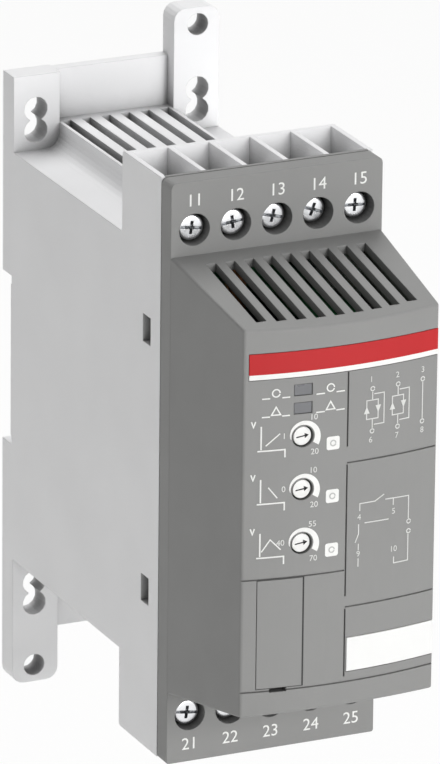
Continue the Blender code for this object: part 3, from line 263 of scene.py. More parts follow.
def worked_metal(name, colour, roughness, line, along, depth=0.002 * MM, edge=0.0):
    """A drawn, rolled or extruded metal, with fine lines that run along one axis."""
    made, tree, shader = surface(name, colour, roughness, 1.0)
    place = add_node(tree, "TexCoord").outputs["Object"]
    stretch = [0.04 if axis == along else 1.0 for axis in "xyz"]
    drawn = add_node(tree, "Mapping", {"Vector": place, "Scale": stretch})
    lines = add_node(tree, "TexNoise", {"Vector": drawn.outputs["Vector"], "Scale": 1 / line, "Detail": 3.0})
    mottled(tree, shader, place, colour, 6 * MM, 0.03)
    uneven(tree, shader, drawn.outputs["Vector"], 4 * line, roughness - 0.06, roughness + 0.1)
    relief(tree, shader, lines.outputs["Fac"], depth, edge)
    return made


def dress(material, *names):
    """Gives CAD nodes their material."""
    for name in names:
        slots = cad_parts[name].data.materials
        slots.clear()
        slots.append(material)


# Meshes


def panel_y(x):
    """The y of the bowed panel at x."""
    return PANEL_FRONT + PANEL_RADIUS - math.sqrt(PANEL_RADIUS ** 2 - x ** 2)


def face_y(x):
    """The y of the flat terminal faces, the same at every x."""
    return PANEL_FRONT + FACE_DROP


def corners_of(node):
    """A node's lowest and highest corners, and its middle."""
    low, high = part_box(node)
    return low, high, (low + high) / 2


def finished(name, bm, material, body, smooth=False):
    """A new object from a mesh, with its material, that rides on a body."""
    mesh = bpy.data.meshes.new(name)
    bmesh.ops.recalc_face_normals(bm, faces=bm.faces)
    bm.to_mesh(mesh)
    bm.free()
    if smooth:
        mesh.shade_smooth()
        mesh.set_sharp_from_angle(angle=math.radians(35))
    for one in material if isinstance(material, list) else [material]:
        mesh.materials.append(one)
    made = bpy.data.objects.new(name, mesh)
    bpy.context.scene.collection.objects.link(made)
    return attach(made, body)


def set_in(node, name, bm, degrees, materials, body):
    """Turns a piece about its axis, puts its front at the node's front and lets it stand for the node."""
    low, _, middle = corners_of(node)
    bmesh.ops.rotate(bm, verts=bm.verts, matrix=Matrix.Rotation(math.radians(degrees), 3, "Y"))
    bmesh.ops.translate(bm, verts=bm.verts, vec=(middle.x, low.y, middle.z))
    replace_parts(finished(name, bm, materials, body, True), node)


def skinned(bm, rings):
    """A closed skin over rings of the same number of points, with both ends capped."""
    for first, last in zip(rings, rings[1:]):
        for i in range(len(first)):
            bm.faces.new((first[i - 1], first[i], last[i], last[i - 1]))
    bm.faces.new(rings[0])
    bm.faces.new(rings[-1])


def print_prism(bm, outline, lift):
    """A thin closed layer of ink in the shape of an (x, z) outline, laid on the panel."""
    skinned(bm, [[bm.verts.new((x, panel_y(x) - out, MIDDLE_Z + z)) for x, z in outline]
                 for out in (lift, lift + PRINT_THICKNESS)])


def print_strip(bm, left, right, depth_at=panel_y, closed=False):
    """A layer of ink between two rows of points that match one to one."""
    rows = []
    for ends in zip(left, right):
        rows.append([bm.verts.new((x, depth_at(x) - out, MIDDLE_Z + z))
                     for out in (PRINT_LIFT, PRINT_LIFT + PRINT_THICKNESS) for x, z in ends])
    pairs = list(zip(rows, rows[1:])) + ([(rows[-1], rows[0])] if closed else [])
    for a, b in pairs:
        for i, j in ((0, 1), (1, 3), (3, 2), (2, 0)):
            bm.faces.new((a[i], a[j], b[j], b[i]))
    if not closed:
        for row in (rows[0], rows[-1]):
            bm.faces.new([row[i] for i in (0, 1, 3, 2)])


def finer(points, closed=False):
    """The same line with a point at least every LONGEST_STEP, so that it follows the bowed panel."""
    made = []
    ends = points[1:] + (points[:1] if closed else [])
    for (x0, z0), (x1, z1) in zip(points, ends):
        steps = max(1, math.ceil(math.hypot(x1 - x0, z1 - z0) / LONGEST_STEP))
        made += [(x0 + (x1 - x0) * i / steps, z0 + (z1 - z0) * i / steps) for i in range(steps)]
    return made if closed else made + [points[-1]]


def print_line(bm, points, width, depth_at=panel_y, closed=False):
    """A printed line of even width with mitred corners."""
    points = finer(points, closed)
    left, right = [], []
    count = len(points)
    for i, (x, z) in enumerate(points):
        before = points[i - 1] if i or closed else points[0]
        after = points[(i + 1) % count] if i < count - 1 or closed else points[-1]
        into = Vector((x - before[0], z - before[1]))
        out = Vector((after[0] - x, after[1] - z))
        into = into.normalized() if into.length else out.normalized()
        out = out.normalized() if out.length else into
        side = Vector((-into.y - out.y, into.x + out.x)).normalized()
        reach = width / 2 / max(0.5, side.dot(Vector((-into.y, into.x))))
        left.append((x + side.x * reach, z + side.y * reach))
        right.append((x - side.x * reach, z - side.y * reach))
    print_strip(bm, left, right, depth_at, closed)


def ring_points(x, z, radius, start, stop, steps):
    """Points on a circle in the plane of the panel, angles in degrees from the right."""
    angles = [math.radians(start + (stop - start) * i / steps) for i in range(steps + 1)]
    return [(x + radius * math.cos(t), z + radius * math.sin(t)) for t in angles]


def print_ring(bm, x, z, radius, width, steps, depth_at=panel_y):
    """A printed ring that stays open by 15 degrees."""
    print_line(bm, ring_points(x, z, radius, 0, 345, steps), width, depth_at)


def print_stroke(bm, points, width, x=0, z=0, closed=False):
    """A printed line through points in mm from a place on the panel."""
    print_line(bm, [(x + across * MM, z + up * MM) for across, up in points], width, closed=closed)


def rounded_square(x, z, half, radius):
    """The outline of a square with round corners."""
    outline = []
    for turn, (sx, sz) in enumerate(((1, 1), (-1, 1), (-1, -1), (1, -1))):
        outline += ring_points(x + sx * (half - radius), z + sz * (half - radius), radius, turn * 90,
                               turn * 90 + 90, 5)
    return outline


def print_text(bm, words, x, z, height, depth_at=panel_y):
    """Plain numerals in ink, centred on a place. A numeral is 0.72 of the font's size in height."""
    curve = bpy.data.curves.new("numeral", "FONT")
    curve.body = words
    curve.size = height / 0.72
    curve.align_x = "CENTER"
    curve.align_y = "CENTER"
    curve.resolution_u = 4
    curve.extrude = PRINT_THICKNESS / 2
    text = bpy.data.objects.new("numeral", curve)
    mesh = bpy.data.meshes.new_from_object(text)
    points = []
    for vert in mesh.vertices:
        across = x + vert.co.x
        out = PRINT_LIFT + vert.co.z + PRINT_THICKNESS / 2
        points.append(bm.verts.new((across, depth_at(across) - out, MIDDLE_Z + z + vert.co.y)))
    for polygon in mesh.polygons:
        bm.faces.new([points[i] for i in polygon.vertices])
    bpy.data.objects.remove(text)
    bpy.data.curves.remove(curve)
    bpy.data.meshes.remove(mesh)


def turned(profile, sides):
    """A closed solid turned about the Y axis, from (y, radius) pairs that start and end on the axis."""
    bm = bmesh.new()
    rings = []
    for y, radius in profile:
        if radius == 0:
            rings.append([bm.verts.new((0, y, 0))])
        else:
            angles = [2 * math.pi * i / sides for i in range(sides)]
            rings.append([bm.verts.new((radius * math.cos(t), y, radius * math.sin(t))) for t in angles])
    # A ring of one point, on the axis, gives triangles: the point would come twice in a face.
    for first, last in zip(rings, rings[1:]):
        for i in range(sides):
            corners = [ring[j % len(ring)] for ring, j in ((first, i - 1), (first, i), (last, i), (last, i - 1))]
            bm.faces.new(list(dict.fromkeys(corners)))
    bmesh.ops.recalc_face_normals(bm, faces=bm.faces)
    return bm


def tapered_cutter(outline, y0, y1, shrink):
    """A cutter with an (x, z) outline at y0 that narrows to a share of it at y1, and leaves the second material."""
    bm = bmesh.new()
    skinned(bm, [[bm.verts.new((x * k, y, z * k)) for x, z in outline] for y, k in ((y0, 1.0), (y1, shrink))])
    for face in bm.faces:
        face.material_index = 1
    bmesh.ops.recalc_face_normals(bm, faces=bm.faces)
    return bm


def carved(bm, cutters, materials):
    """The solid less its cutters, as a new bmesh. Both hold the materials, so that the cut faces keep theirs."""
    scratch = []
    for i, solid in enumerate([bm] + cutters):
        mesh = bpy.data.meshes.new(f"scratch_{i}")
        solid.to_mesh(mesh)
        solid.free()
        for material in materials:
            mesh.materials.append(material)
        made = bpy.data.objects.new(f"scratch_{i}", mesh)
        bpy.context.scene.collection.objects.link(made)
        scratch.append(made)
    for cutter in scratch[1:]:
        modifier = scratch[0].modifiers.new(cutter.name, "BOOLEAN")
        modifier.operation = "DIFFERENCE"
        modifier.solver = "EXACT"
        modifier.object = cutter
    shape = scratch[0].evaluated_get(bpy.context.evaluated_depsgraph_get())
    result = bmesh.new()
    result.from_mesh(shape.to_mesh())
    shape.to_mesh_clear()
    for made in scratch:
        mesh = made.data
        bpy.data.objects.remove(made)
        bpy.data.meshes.remove(mesh)
    return result


# Operators: one for each piece or group of like pieces


class DressHousing(bpy.types.Operator):
    """Light grey glass-filled polyamide, moulded, on the rear housing"""
    bl_idname = "soft_starter.dress_housing"
    bl_label = "Housing"

    def execute(self, context):
        plastic = context.scene.soft_starter_plastic
        # Glass-filled polyamide from a spark-eroded mould: matt and pale, with bright soft edges.
        # Painted shade darkens its deep corners, slots and holes to 0.15 of its colour.
        made = moulded_plastic("polyamide_light_grey_moulded", tuple(plastic.housing_colour), 0.58, plastic.grain,
                               0.008 * MM, plastic.edge, 0.15, Specular_IOR_Level=0.2)
        dress(made, "rear_housing")
        return {"FINISHED"}


class DressCover(bpy.types.Operator):
    """Mid grey moulded polycarbonate blend on the front cover and its small lid"""
    bl_idname = "soft_starter.dress_cover"
    bl_label = "Cover and lid"

    def execute(self, context):
        plastic = context.scene.soft_starter_plastic
        # Polycarbonate blend, finely eroded: a little smoother than the housing, so its front takes a soft shine.
        # Painted shade darkens its deep corners, slots and holes to half its colour.
        made = moulded_plastic("polycarbonate_blend_mid_grey_moulded", tuple(plastic.cover_colour), 0.5,
                               plastic.grain, 0.006 * MM, plastic.edge, 0.5, Specular_IOR_Level=0.2)
        dress(made, "front_cover", "connector_cover")
        self.lips(made)
        return {"FINISHED"}

    def lips(self, material):
        """The cover's thin lips, which lie over the front rims of the wire entries."""
        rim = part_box("rear_housing")[0].y
        inset, front, back, thickness = 0.9 * MM, 0.2 * MM, 0.8 * MM, 0.06 * MM
        across, over, under = COVER_HIGH.x - inset, rim - front, rim + back
        outline = [(-across, over), (across, over), (across, under), (-across, under)]
        for name, edge, side in (("upper", COVER_HIGH.z, 1), ("lower", COVER_LOW.z, -1)):
            bm = bmesh.new()
            skinned(bm, [[bm.verts.new((x, y, edge + side * out)) for x, y in outline]
                         for out in (PRINT_LIFT, thickness)])
            finished(f"cover_lip_{name}", bm, material, "housing")


class DressStrips(bpy.types.Operator):
    """The printed red title strip with its white lower line, and the white marking label"""
    bl_idname = "soft_starter.dress_strips"
    bl_label = "Title strip and label"

    def execute(self, context):
        prints = context.scene.soft_starter_print
        white_line = 1.0 * MM
        # Screen-printed polyester film: smooth and slightly glossy, in two sharp colours.
        made, tree, shader = surface("polyester_film_printed_red", tuple(prints.strip), 0.4, IOR=1.6,
                                     Specular_IOR_Level=0.25)
        place = add_node(tree, "TexCoord").outputs["Object"]
        height = add_node(tree, "SeparateXYZ", {"Vector": place}).outputs["Z"]
        above = add_node(tree, "Math", {0: height, 1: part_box("title_strip")[0].z + white_line},
                         operation="GREATER_THAN")
        red = mottled(tree, shader, place, tuple(prints.strip), 14 * MM, 0.02)
        two_colours(tree, shader, above.outputs[0], (*prints.ink, 1.0), red.outputs["Color"])
        self.film(tree, shader, place, 0.0)
        dress(made, "title_strip")

        # Writable polyester label: bright, smooth white with a barely uneven gloss.
        made, tree, shader = surface("polyester_label_white", linear("#E8E8E7"), 0.42, IOR=1.6)
        place = add_node(tree, "TexCoord").outputs["Object"]
        mottled(tree, shader, place, linear("#E8E8E7"), 12 * MM, 0.008)
        self.film(tree, shader, place, 0.1 * MM)
        dress(made, "marking_label")
        return {"FINISHED"}

    def film(self, tree, shader, place, edge):
        """The slight waviness of a thin film that is stuck down."""
        waves = add_node(tree, "TexNoise", {"Vector": place, "Scale": 1 / (1.5 * MM)})
        relief(tree, shader, waves.outputs["Fac"], 0.002 * MM, edge)


class DressLights(bpy.types.Operator):
    """Smoked polycarbonate in the two unlit light pipes"""
    bl_idname = "soft_starter.dress_lights"
    bl_label = "Light pipes"

    def execute(self, context):
        # Smoked polycarbonate, polished in the mould: the unlit windows read as dull grey bars.
        made = moulded_plastic("polycarbonate_smoked_polished", linear("#6E6F72"), 0.3, 0.8 * MM, 0.001 * MM,
                               0.1 * MM, IOR=1.58)
        dress(made, "light_pipe_ready", "light_pipe_run")
        return {"FINISHED"}


class MakeScrews(bpy.types.Operator):
    """Ten terminal screws with a domed head, a combined slot and cross recess and a real thread"""
    bl_idname = "soft_starter.make_screws"
    bl_label = "Terminal screws"

    def execute(self, context):
        hardware = context.scene.soft_starter_hardware
        # Steel, zinc plated and passivated: bright and slightly blue, with soft scratches round the axis.
        plated = worked_metal("steel_zinc_plated_bright", linear("#EAEBED"), 0.3, 0.4 * MM, "y", 0.0006 * MM)
        # The same steel in the recess: rougher where the punch and the screwdriver leave it duller, and darker as
        # painted shade.
        recess_worn_and_shaded = worked_metal("steel_zinc_plated_recess_painted_shade", linear("#9C9EA1"), 0.45, 0.2 * MM, "y")
        for number in TERMINALS:
            node = f"terminal_screw_{number}"
            low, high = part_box(node)
            bm = self.screw(high.y - low.y, hardware, [plated, recess_worn_and_shaded])
            set_in(node, f"screw_threaded_{number}", bm, SCREW_TURNS[(number - 1) % COLUMNS], [plated, recess_worn_and_shaded],
                   f"screw_{number}")
        return {"FINISHED"}

    def screw(self, length, hardware, materials):
        """One screw along +Y, with the top of its head at the origin."""
        head, crown, radius = 2.2 * MM, 0.45 * MM, 2.62 * MM
        core, crest, tip = 1.42 * MM, 1.58 * MM, 0.9 * MM
        shoulder = length - 1.5 * MM
        flat = radius - 1.5 * crown
        pitch = hardware.pitch
        profile = [(0, 0), (0, flat)]
        profile += [(crown * (1 - math.cos(math.pi * i / 8)), flat + 1.5 * crown * math.sin(math.pi * i / 8))
                    for i in (1, 2, 3, 4)]
        profile += [(head, radius), (head, crest)]
        y = head + 0.25 * MM
        while y < shoulder - pitch / 2:
            profile += [(y, crest), (y + pitch * 0.35, core), (y + pitch * 0.65, core)]
            y += pitch
        profile += [(shoulder, crest), (shoulder, tip), (length, tip), (length, 0)]
        bm = turned(profile, hardware.sides)
        # The thread climbs one pitch in each turn, and runs out over 1 mm at either end.
        for vert in bm.verts:
            x, y, z = vert.co
            share = min(1.0, max(0.0, (y - head) / MM)) * min(1.0, max(0.0, (shoulder - y) / MM))
            if share > 0 and math.hypot(x, z) > tip:
                vert.co.y += share * pitch * math.atan2(z, x) / (2 * math.pi)
        # The slot runs across the head, and the cross narrows with its depth to a share of its outline.
        reach, half_slot, slot_depth = 2.25 * MM, 0.3 * MM, 0.75 * MM
        arm, half_arm, cross_depth, narrowed = 1.45 * MM, 0.36 * MM, 1.6 * MM, 0.55
        slot = [(reach, half_slot), (-reach, half_slot), (-reach, -half_slot), (reach, -half_slot)]
        corner = [(arm, half_arm), (half_arm, half_arm), (half_arm, arm)]
        cross = corner + [(-x, z) for x, z in reversed(corner)]
        cross += [(-x, -z) for x, z in cross]
        cutters = [tapered_cutter(slot, -MM, slot_depth, 1.0),
                   tapered_cutter(cross, -0.4 * MM, cross_depth, narrowed)]
        return carved(bm, cutters, materials)


class DressClamps(bpy.types.Operator):
    """Zinc-plated clamp feet and cages, and rolled copper bars"""
    bl_idname = "soft_starter.dress_clamps"
    bl_label = "Clamps and bars"

    def execute(self, context):
        # Pressed steel, zinc plated: duller than the screws, with fine rolling lines.
        plated = worked_metal("steel_zinc_plated_pressed", linear("#C3C6C9"), 0.36, 0.3 * MM, "z")
        dress(plated, *[f"{kind}_{number}" for kind in ("clamp_foot", "terminal_cage") for number in TERMINALS])
        # Electrolytic copper, rolled and bent: warm, with long rolling lines.
        copper = worked_metal("copper_rolled", linear("#C98A63"), 0.32, 0.3 * MM, "z")
        bars = [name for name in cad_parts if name.startswith("contact_bar_")]
        dress(copper, "through_bar", *bars)
        return {"FINISHED"}


class MakeDials(bpy.types.Operator):
    """Three white trimmer rotors, each with an arrow-shaped slot whose floor is coloured dark as painted shade"""
    bl_idname = "soft_starter.make_dials"
    bl_label = "Dials"

    def execute(self, context):
        hardware = context.scene.soft_starter_hardware
        # Polybutylene terephthalate, moulded: a clean, slightly glossy white.
        white = moulded_plastic("polybutylene_white_moulded", linear("#E6E6E4"), 0.4, 0.3 * MM, 0.002 * MM,
                                0.1 * MM)
        # The same plastic, dark grey, in the arrow's floor: painted shade, so that it reads as a slot in deep
        # shade.
        painted_shade = moulded_plastic("polybutylene_painted_slot_shade", linear("#3A3A3C"), 0.5, 0.3 * MM, 0.002 * MM, 0.0)
        stem, disc, soft, depth = 1.2 * MM, 1.6 * MM, 0.25 * MM, 0.5 * MM
        for node in DIALS:
            low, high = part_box(node)
            radius, length = (high.x - low.x) / 2, high.y - low.y
            profile = [(0, 0), (0, radius - soft)]
            profile += [(soft * (1 - math.cos(t)), radius - soft + soft * math.sin(t))
                        for t in (math.pi / 4, math.pi / 2)]
            profile += [(disc, radius), (disc, stem), (length, stem), (length, 0)]
            far, head, thin = radius * 0.72, radius * 0.3, radius * 0.07
            neck = far * 0.35
            arrow = [(-far, -thin), (neck, -thin), (neck, -head), (far, 0), (neck, head), (neck, thin),
                     (-far, thin)]
            bm = carved(turned(profile, hardware.sides), [tapered_cutter(arrow, -MM, depth, 0.96)], [white, painted_shade])
            set_in(node, f"rotor_{node}", bm, DIAL_TURN, [white, painted_shade], node)
        return {"FINISHED"}


class DressLatch(bpy.types.Operator):
    """Black polyamide rail latch and its spring-steel spring"""
    bl_idname = "soft_starter.dress_latch"
    bl_label = "Latch and spring"

    def execute(self, context):
        # Unfilled polyamide, moulded: deep black with a soft shine where it slides.
        black = moulded_plastic("polyamide_black_moulded", linear("#232323"), 0.42, 0.3 * MM, 0.004 * MM)
        dress(black, "din_latch")
        # Patented spring wire, drawn: grey and bright along the wire.
        steel = worked_metal("spring_steel_drawn", linear("#B4B6B8"), 0.28, 0.2 * MM, "x")
        low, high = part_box("latch_spring")
        coil = finished("latch_spring_coil", self.coil(low, high), steel, "housing", True)
        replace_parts(coil, "latch_spring")
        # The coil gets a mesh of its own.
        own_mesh(coil)
        return {"FINISHED"}

    def coil(self, low, high):
        """A compression spring that fills a box, with a closed turn at each end."""
        wire, end_rise = 0.25 * MM, 0.55 * MM
        turns, steps, sides = 7, 24, 8
        middle, radius = (low + high) / 2, (high.x - low.x) / 2 - wire
        rise = (high.z - low.z - 2 * wire - 2 * end_rise) / (turns - 2)
        bm = bmesh.new()
        rings = []
        for step in range(turns * steps + 1):
            turn, angle = step / steps, 2 * math.pi * step / steps
            closed, open_turns = min(turn, 1) + max(turn - turns + 1, 0), min(max(turn - 1, 0), turns - 2)
            z = low.z + wire + end_rise * closed + rise * open_turns
            ring = []
            for side in range(sides):
                t = 2 * math.pi * side / sides
                out = radius + wire * math.cos(t)
                ring.append(bm.verts.new((middle.x + out * math.cos(angle), middle.y + out * math.sin(angle),
                                          z + wire * math.sin(t))))
            rings.append(ring)
        skinned(bm, rings)
        return bm


class DressPower(bpy.types.Operator):
    """The heat sink, power modules, relays and transformer"""
    bl_idname = "soft_starter.dress_power"
    bl_label = "Power parts"

    def execute(self, context):
        # Extruded aluminium, mill finish: pale and streaked along the fins.
        dress(worked_metal("aluminium_extruded", linear("#D3D4D6"), 0.4, 0.4 * MM, "z"), "heat_sink")
        # Thermoset moulding compound: black and finely granular.
        black = moulded_plastic("epoxy_moulding_black", linear("#242426"), 0.55, 0.25 * MM, 0.006 * MM)
        dress(black, *[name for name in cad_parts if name.startswith(("thyristor", "bypass_relay"))])
        dress(self.transformer_material(), "transformer")
        return {"FINISHED"}

    def transformer_material(self):
        """Stacked silicon-steel sheets, dark and varnished, with the winding wrapped in yellow tape."""
        half_winding, sheet, steel = 6.0 * MM, 0.8 * MM, linear("#4C4E52")
        made, tree, shader = surface("silicon_steel_laminated_and_tape", steel, 0.45)
        place = add_node(tree, "TexCoord").outputs["Object"]
        axes = add_node(tree, "SeparateXYZ", {"Vector": place})
        middle = corners_of("transformer")[2].z
        away = add_node(tree, "Math", {0: axes.outputs["Z"], 1: middle}, operation="SUBTRACT")
        near = add_node(tree, "Math", {0: away.outputs[0]}, operation="ABSOLUTE")
        tape = add_node(tree, "Math", {0: near.outputs[0], 1: half_winding}, operation="LESS_THAN")
        # Sheets of 0.5 mm, drawn at 0.8 mm so that they show: at scale 1 a wave is 2 pi / 20 long.
        sheets = add_node(tree, "TexWave", {"Vector": place, "Scale": 1 / (math.pi * sheet)}, bands_direction="X")
        two_colours(tree, shader, tape.outputs[0], (*steel, 1.0), (*linear("#D9B23C"), 1.0))
        relief(tree, shader, sheets.outputs["Fac"], 0.02 * MM, 0.2 * MM)
        return made


class DressBoards(bpy.types.Operator):
    """Green glass laminate boards with their copper tracks, and the socket"""
    bl_idname = "soft_starter.dress_boards"
    bl_label = "Boards and socket"

    def execute(self, context):
        # Glass laminate under solder mask: glossy green, with tracks 1.27 mm apart that show through lighter.
        made, tree, shader = surface("glass_laminate_solder_mask", linear("#1D5B34"), 0.3, IOR=1.55)
        place = add_node(tree, "TexCoord").outputs["Object"]
        upright = add_node(tree, "Mapping", {"Vector": place, "Rotation": (math.radians(90), 0, 0)})
        greens = {name: (*linear(hex_colour), 1.0) for name, hex_colour in
                  (("Color1", "#1D5B34"), ("Color2", "#22663B"), ("Mortar", "#3E8A55"))}
        tracks = add_node(tree, "TexBrick", {"Vector": upright.outputs["Vector"], "Scale": 1.0, **greens,
                                             "Mortar Size": 0.15 * MM, "Brick Width": 7.62 * MM,
                                             "Row Height": 1.27 * MM})
        tree.links.new(tracks.outputs["Color"], shader.inputs["Base Color"])
        relief(tree, shader, tracks.outputs["Fac"], 0.02 * MM, 0.1 * MM)
        dress(made, "power_board", "control_board")
        # Glass-filled polyester: the usual matt black of a socket.
        dress(moulded_plastic("polyester_black_moulded", linear("#28282A"), 0.5, 0.3 * MM, 0.004 * MM, 0.15 * MM),
              "connector_socket")
        return {"FINISHED"}


class MakePins(bpy.types.Operator):
    """Gilded sleeves on the five pins of the socket behind the lid"""
    bl_idname = "soft_starter.make_pins"
    bl_label = "Socket pins"

    def execute(self, context):
        low, high, middle = corners_of("connector_socket")
        # Gilded brass: warm and bright in the dark of the socket.
        gold = worked_metal("brass_gilded", linear("#E2BC6A"), 0.25, 0.2 * MM, "y")
        wall, floor, half, pins = 0.9 * MM, 1.4 * MM, 0.4 * MM, 5
        step = (high.z - low.z - 2 * wall) / pins
        # A pin stands up from the socket's floor and tapers over its last part.
        ends = [(high.y - floor - 0.02 * MM, half), (high.y - 2.6 * floor, half), (high.y - 3.0 * floor, half / 2)]
        bm = bmesh.new()
        for pin in range(pins):
            z = low.z + wall + (pin + 0.5) * step
            skinned(bm, [[bm.verts.new((middle.x + sx * r, y, z + sz * r))
                          for sx, sz in ((1, 1), (-1, 1), (-1, -1), (1, -1))] for y, r in ends])
        finished("socket_pins", bm, gold, "housing")
        return {"FINISHED"}


def ink_material(name, colour):
    """Screen-print ink: flat, dense and slightly rough at its edges. The same material lays the painted shadow
    beside the lid.
    """
    made, tree, shader = surface(name, colour, 0.6, IOR=1.5, Specular_IOR_Level=0.3)
    place = add_node(tree, "TexCoord").outputs["Object"]
    mottled(tree, shader, place, colour, 1.2 * MM, 0.03)
    return made


class PrintTerminalNumbers(bpy.types.Operator):
    """Plain numbers above the upper screws and below the lower ones"""
    bl_idname = "soft_starter.print_terminal_numbers"
    bl_label = "Terminal numbers"

    def execute(self, context):
        prints = context.scene.soft_starter_print
        ink = ink_material("ink_white_screen_printed", linear("#EBEBE9"))
        bm = bmesh.new()
        for row, numbers in ((1, UPPER_NUMBERS), (-1, LOWER_NUMBERS)):
            for column, words in enumerate(numbers):
                x = corners_of(f"terminal_screw_{column + 1}")[2].x
                print_text(bm, words, x, row * LABEL_HEIGHTS[row], prints.numeral, face_y)
        finished("terminal_numbers", bm, ink, "housing")
        return {"FINISHED"}


class PrintScales(bpy.types.Operator):
    """The white scales round the dials, with plain numbers"""
    bl_idname = "soft_starter.print_scales"
    bl_label = "Dial scales"

    def execute(self, context):
        ink = ink_material("ink_white_scales", tuple(context.scene.soft_starter_print.ink))
        thin = ink_material("ink_white_scale_numbers", linear("#D9D9D7"))
        bm, digits = bmesh.new(), bmesh.new()
        # Each scale runs clockwise from its left end, in degrees, and widens from a hair to its full width.
        steps, start, sweep = 36, 190, 222
        inner, thinnest, widening = 2.4 * MM, 0.06 * MM, 1.25 * MM
        for node, numbers in DIALS.items():
            middle = corners_of(node)[2]
            x, z = middle.x, middle.z - MIDDLE_Z
            left, right = [], []
            for step in range(steps + 1):
                share = step / steps
                angle = math.radians(start - sweep * share)
                for row, reach in ((left, inner), (right, inner + thinnest + widening * share ** 0.7)):
                    row.append((x + reach * math.cos(angle), z + reach * math.sin(angle)))
            print_strip(bm, left, right)
            # Each number's angle, and its distance from the dial's middle in mm: the first moves out by its length.
            for words, angle, away in zip(numbers, (174, 60, -54), (3.3 + 0.5 * len(numbers[0]), 4.3, 4.1)):
                t = math.radians(angle)
                print_text(digits, words, x + away * MM * math.cos(t), z + away * MM * math.sin(t), PANEL_NUMERAL)
        finished("dial_scales", bm, ink, "housing")
        finished("dial_numbers", digits, thin, "housing")
        return {"FINISHED"}


class PrintSymbols(bpy.types.Operator):
    """The ramp symbols, the white unit squares and the lines beside the light windows"""
    bl_idname = "soft_starter.print_symbols"
    bl_label = "Panel symbols"

    def execute(self, context):
        prints = context.scene.soft_starter_print
        ink = ink_material("ink_white_symbols", linear("#E4E4E2"))
        white = ink_material("ink_white_squares", tuple(prints.ink))
        dark = ink_material("ink_grey_symbols", linear("#B7B7B6"))
        bm, squares, marks = bmesh.new(), bmesh.new(), bmesh.new()
        # The line on each pair of axes, in mm from their foot: a rise, a fall, and a rise and fall.
        ramps = ([(0.9, 1.0), (3.7, 3.3)], [(1.5, 3.3), (3.3, 1.0)], [(0.3, 1.2), (2.0, 3.6), (4.1, 1.4)])
        drop, square_rise, half_square, round_corner = 2.25 * MM, 0.2 * MM, 1.35 * MM, 0.45 * MM
        mark_radius, mark_line = 0.55 * MM, 0.24 * MM
        for node, ramp in zip(DIALS, ramps):
            z = corners_of(node)[2].z - MIDDLE_Z - drop
            self.axes(bm, z, prints.line)
            print_stroke(bm, ramp, prints.line * 0.9, ICON_X, z)
            z += square_rise
            print_prism(squares, rounded_square(SQUARE_X, z, half_square, round_corner), PRINT_LIFT)
            print_ring(marks, SQUARE_X, z, mark_radius, mark_line, 16, lambda x: panel_y(x) - 2 * PRINT_THICKNESS)
        # Beside each light window a broken line, with a ring in the upper row and a triangle in the lower, in mm.
        upper_row, lower_row = LIGHT_ROWS
        for x0, x1 in ((-17.0, -11.5), (-6.2, -0.3)):
            middle, gap, under, half = (x0 + x1) / 2, 1.2, -1.2, 0.9
            for z in LIGHT_ROWS:
                for ends in ((x0, middle - gap), (middle + gap, x1)):
                    print_stroke(bm, [(x, under) for x in ends], prints.line, 0, z)
            print_ring(bm, middle * MM, upper_row - 0.2 * MM, 0.75 * MM, prints.line, 18)
            triangle = [(middle - half, -half), (middle, 0.7), (middle + half, -half)]
            print_stroke(bm, triangle, prints.line, 0, lower_row, closed=True)
        finished("panel_symbols", bm, ink, "housing")
        finished("unit_squares", squares, white, "housing")
        finished("square_marks", marks, dark, "housing")
        # The lid's right edge shows a dark gap in the photograph. The solids fit closely, so here it is drawn.
        low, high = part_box("connector_cover")
        shadow = bmesh.new()
        print_line(shadow, [(high.x, low.z - MIDDLE_Z), (high.x, high.z - MIDDLE_Z)], prints.line)
        # Painted shadow: a print-thin dark line, laid with the ink material, where the gap's shadow falls.
        painted_shade = ink_material("painted_gap_shadow_black", linear("#303030"))
        finished("lid_gap_painted_shadow", shadow, painted_shade, "housing")
        return {"FINISHED"}

    def axes(self, bm, z, line):
        """A level axis and a time axis, each with its small hook."""
        print_stroke(bm, [(0, 5.0), (0, line / MM)], line * 1.1, ICON_X, z)
        print_stroke(bm, [(-0.7, 0), (4.7, 0), (4.7, -1.6)], line * 1.1, ICON_X, z)
        print_stroke(bm, [(-1.9, 6.1), (-1.5, 4.9), (-1.1, 6.1)], line, ICON_X, z)


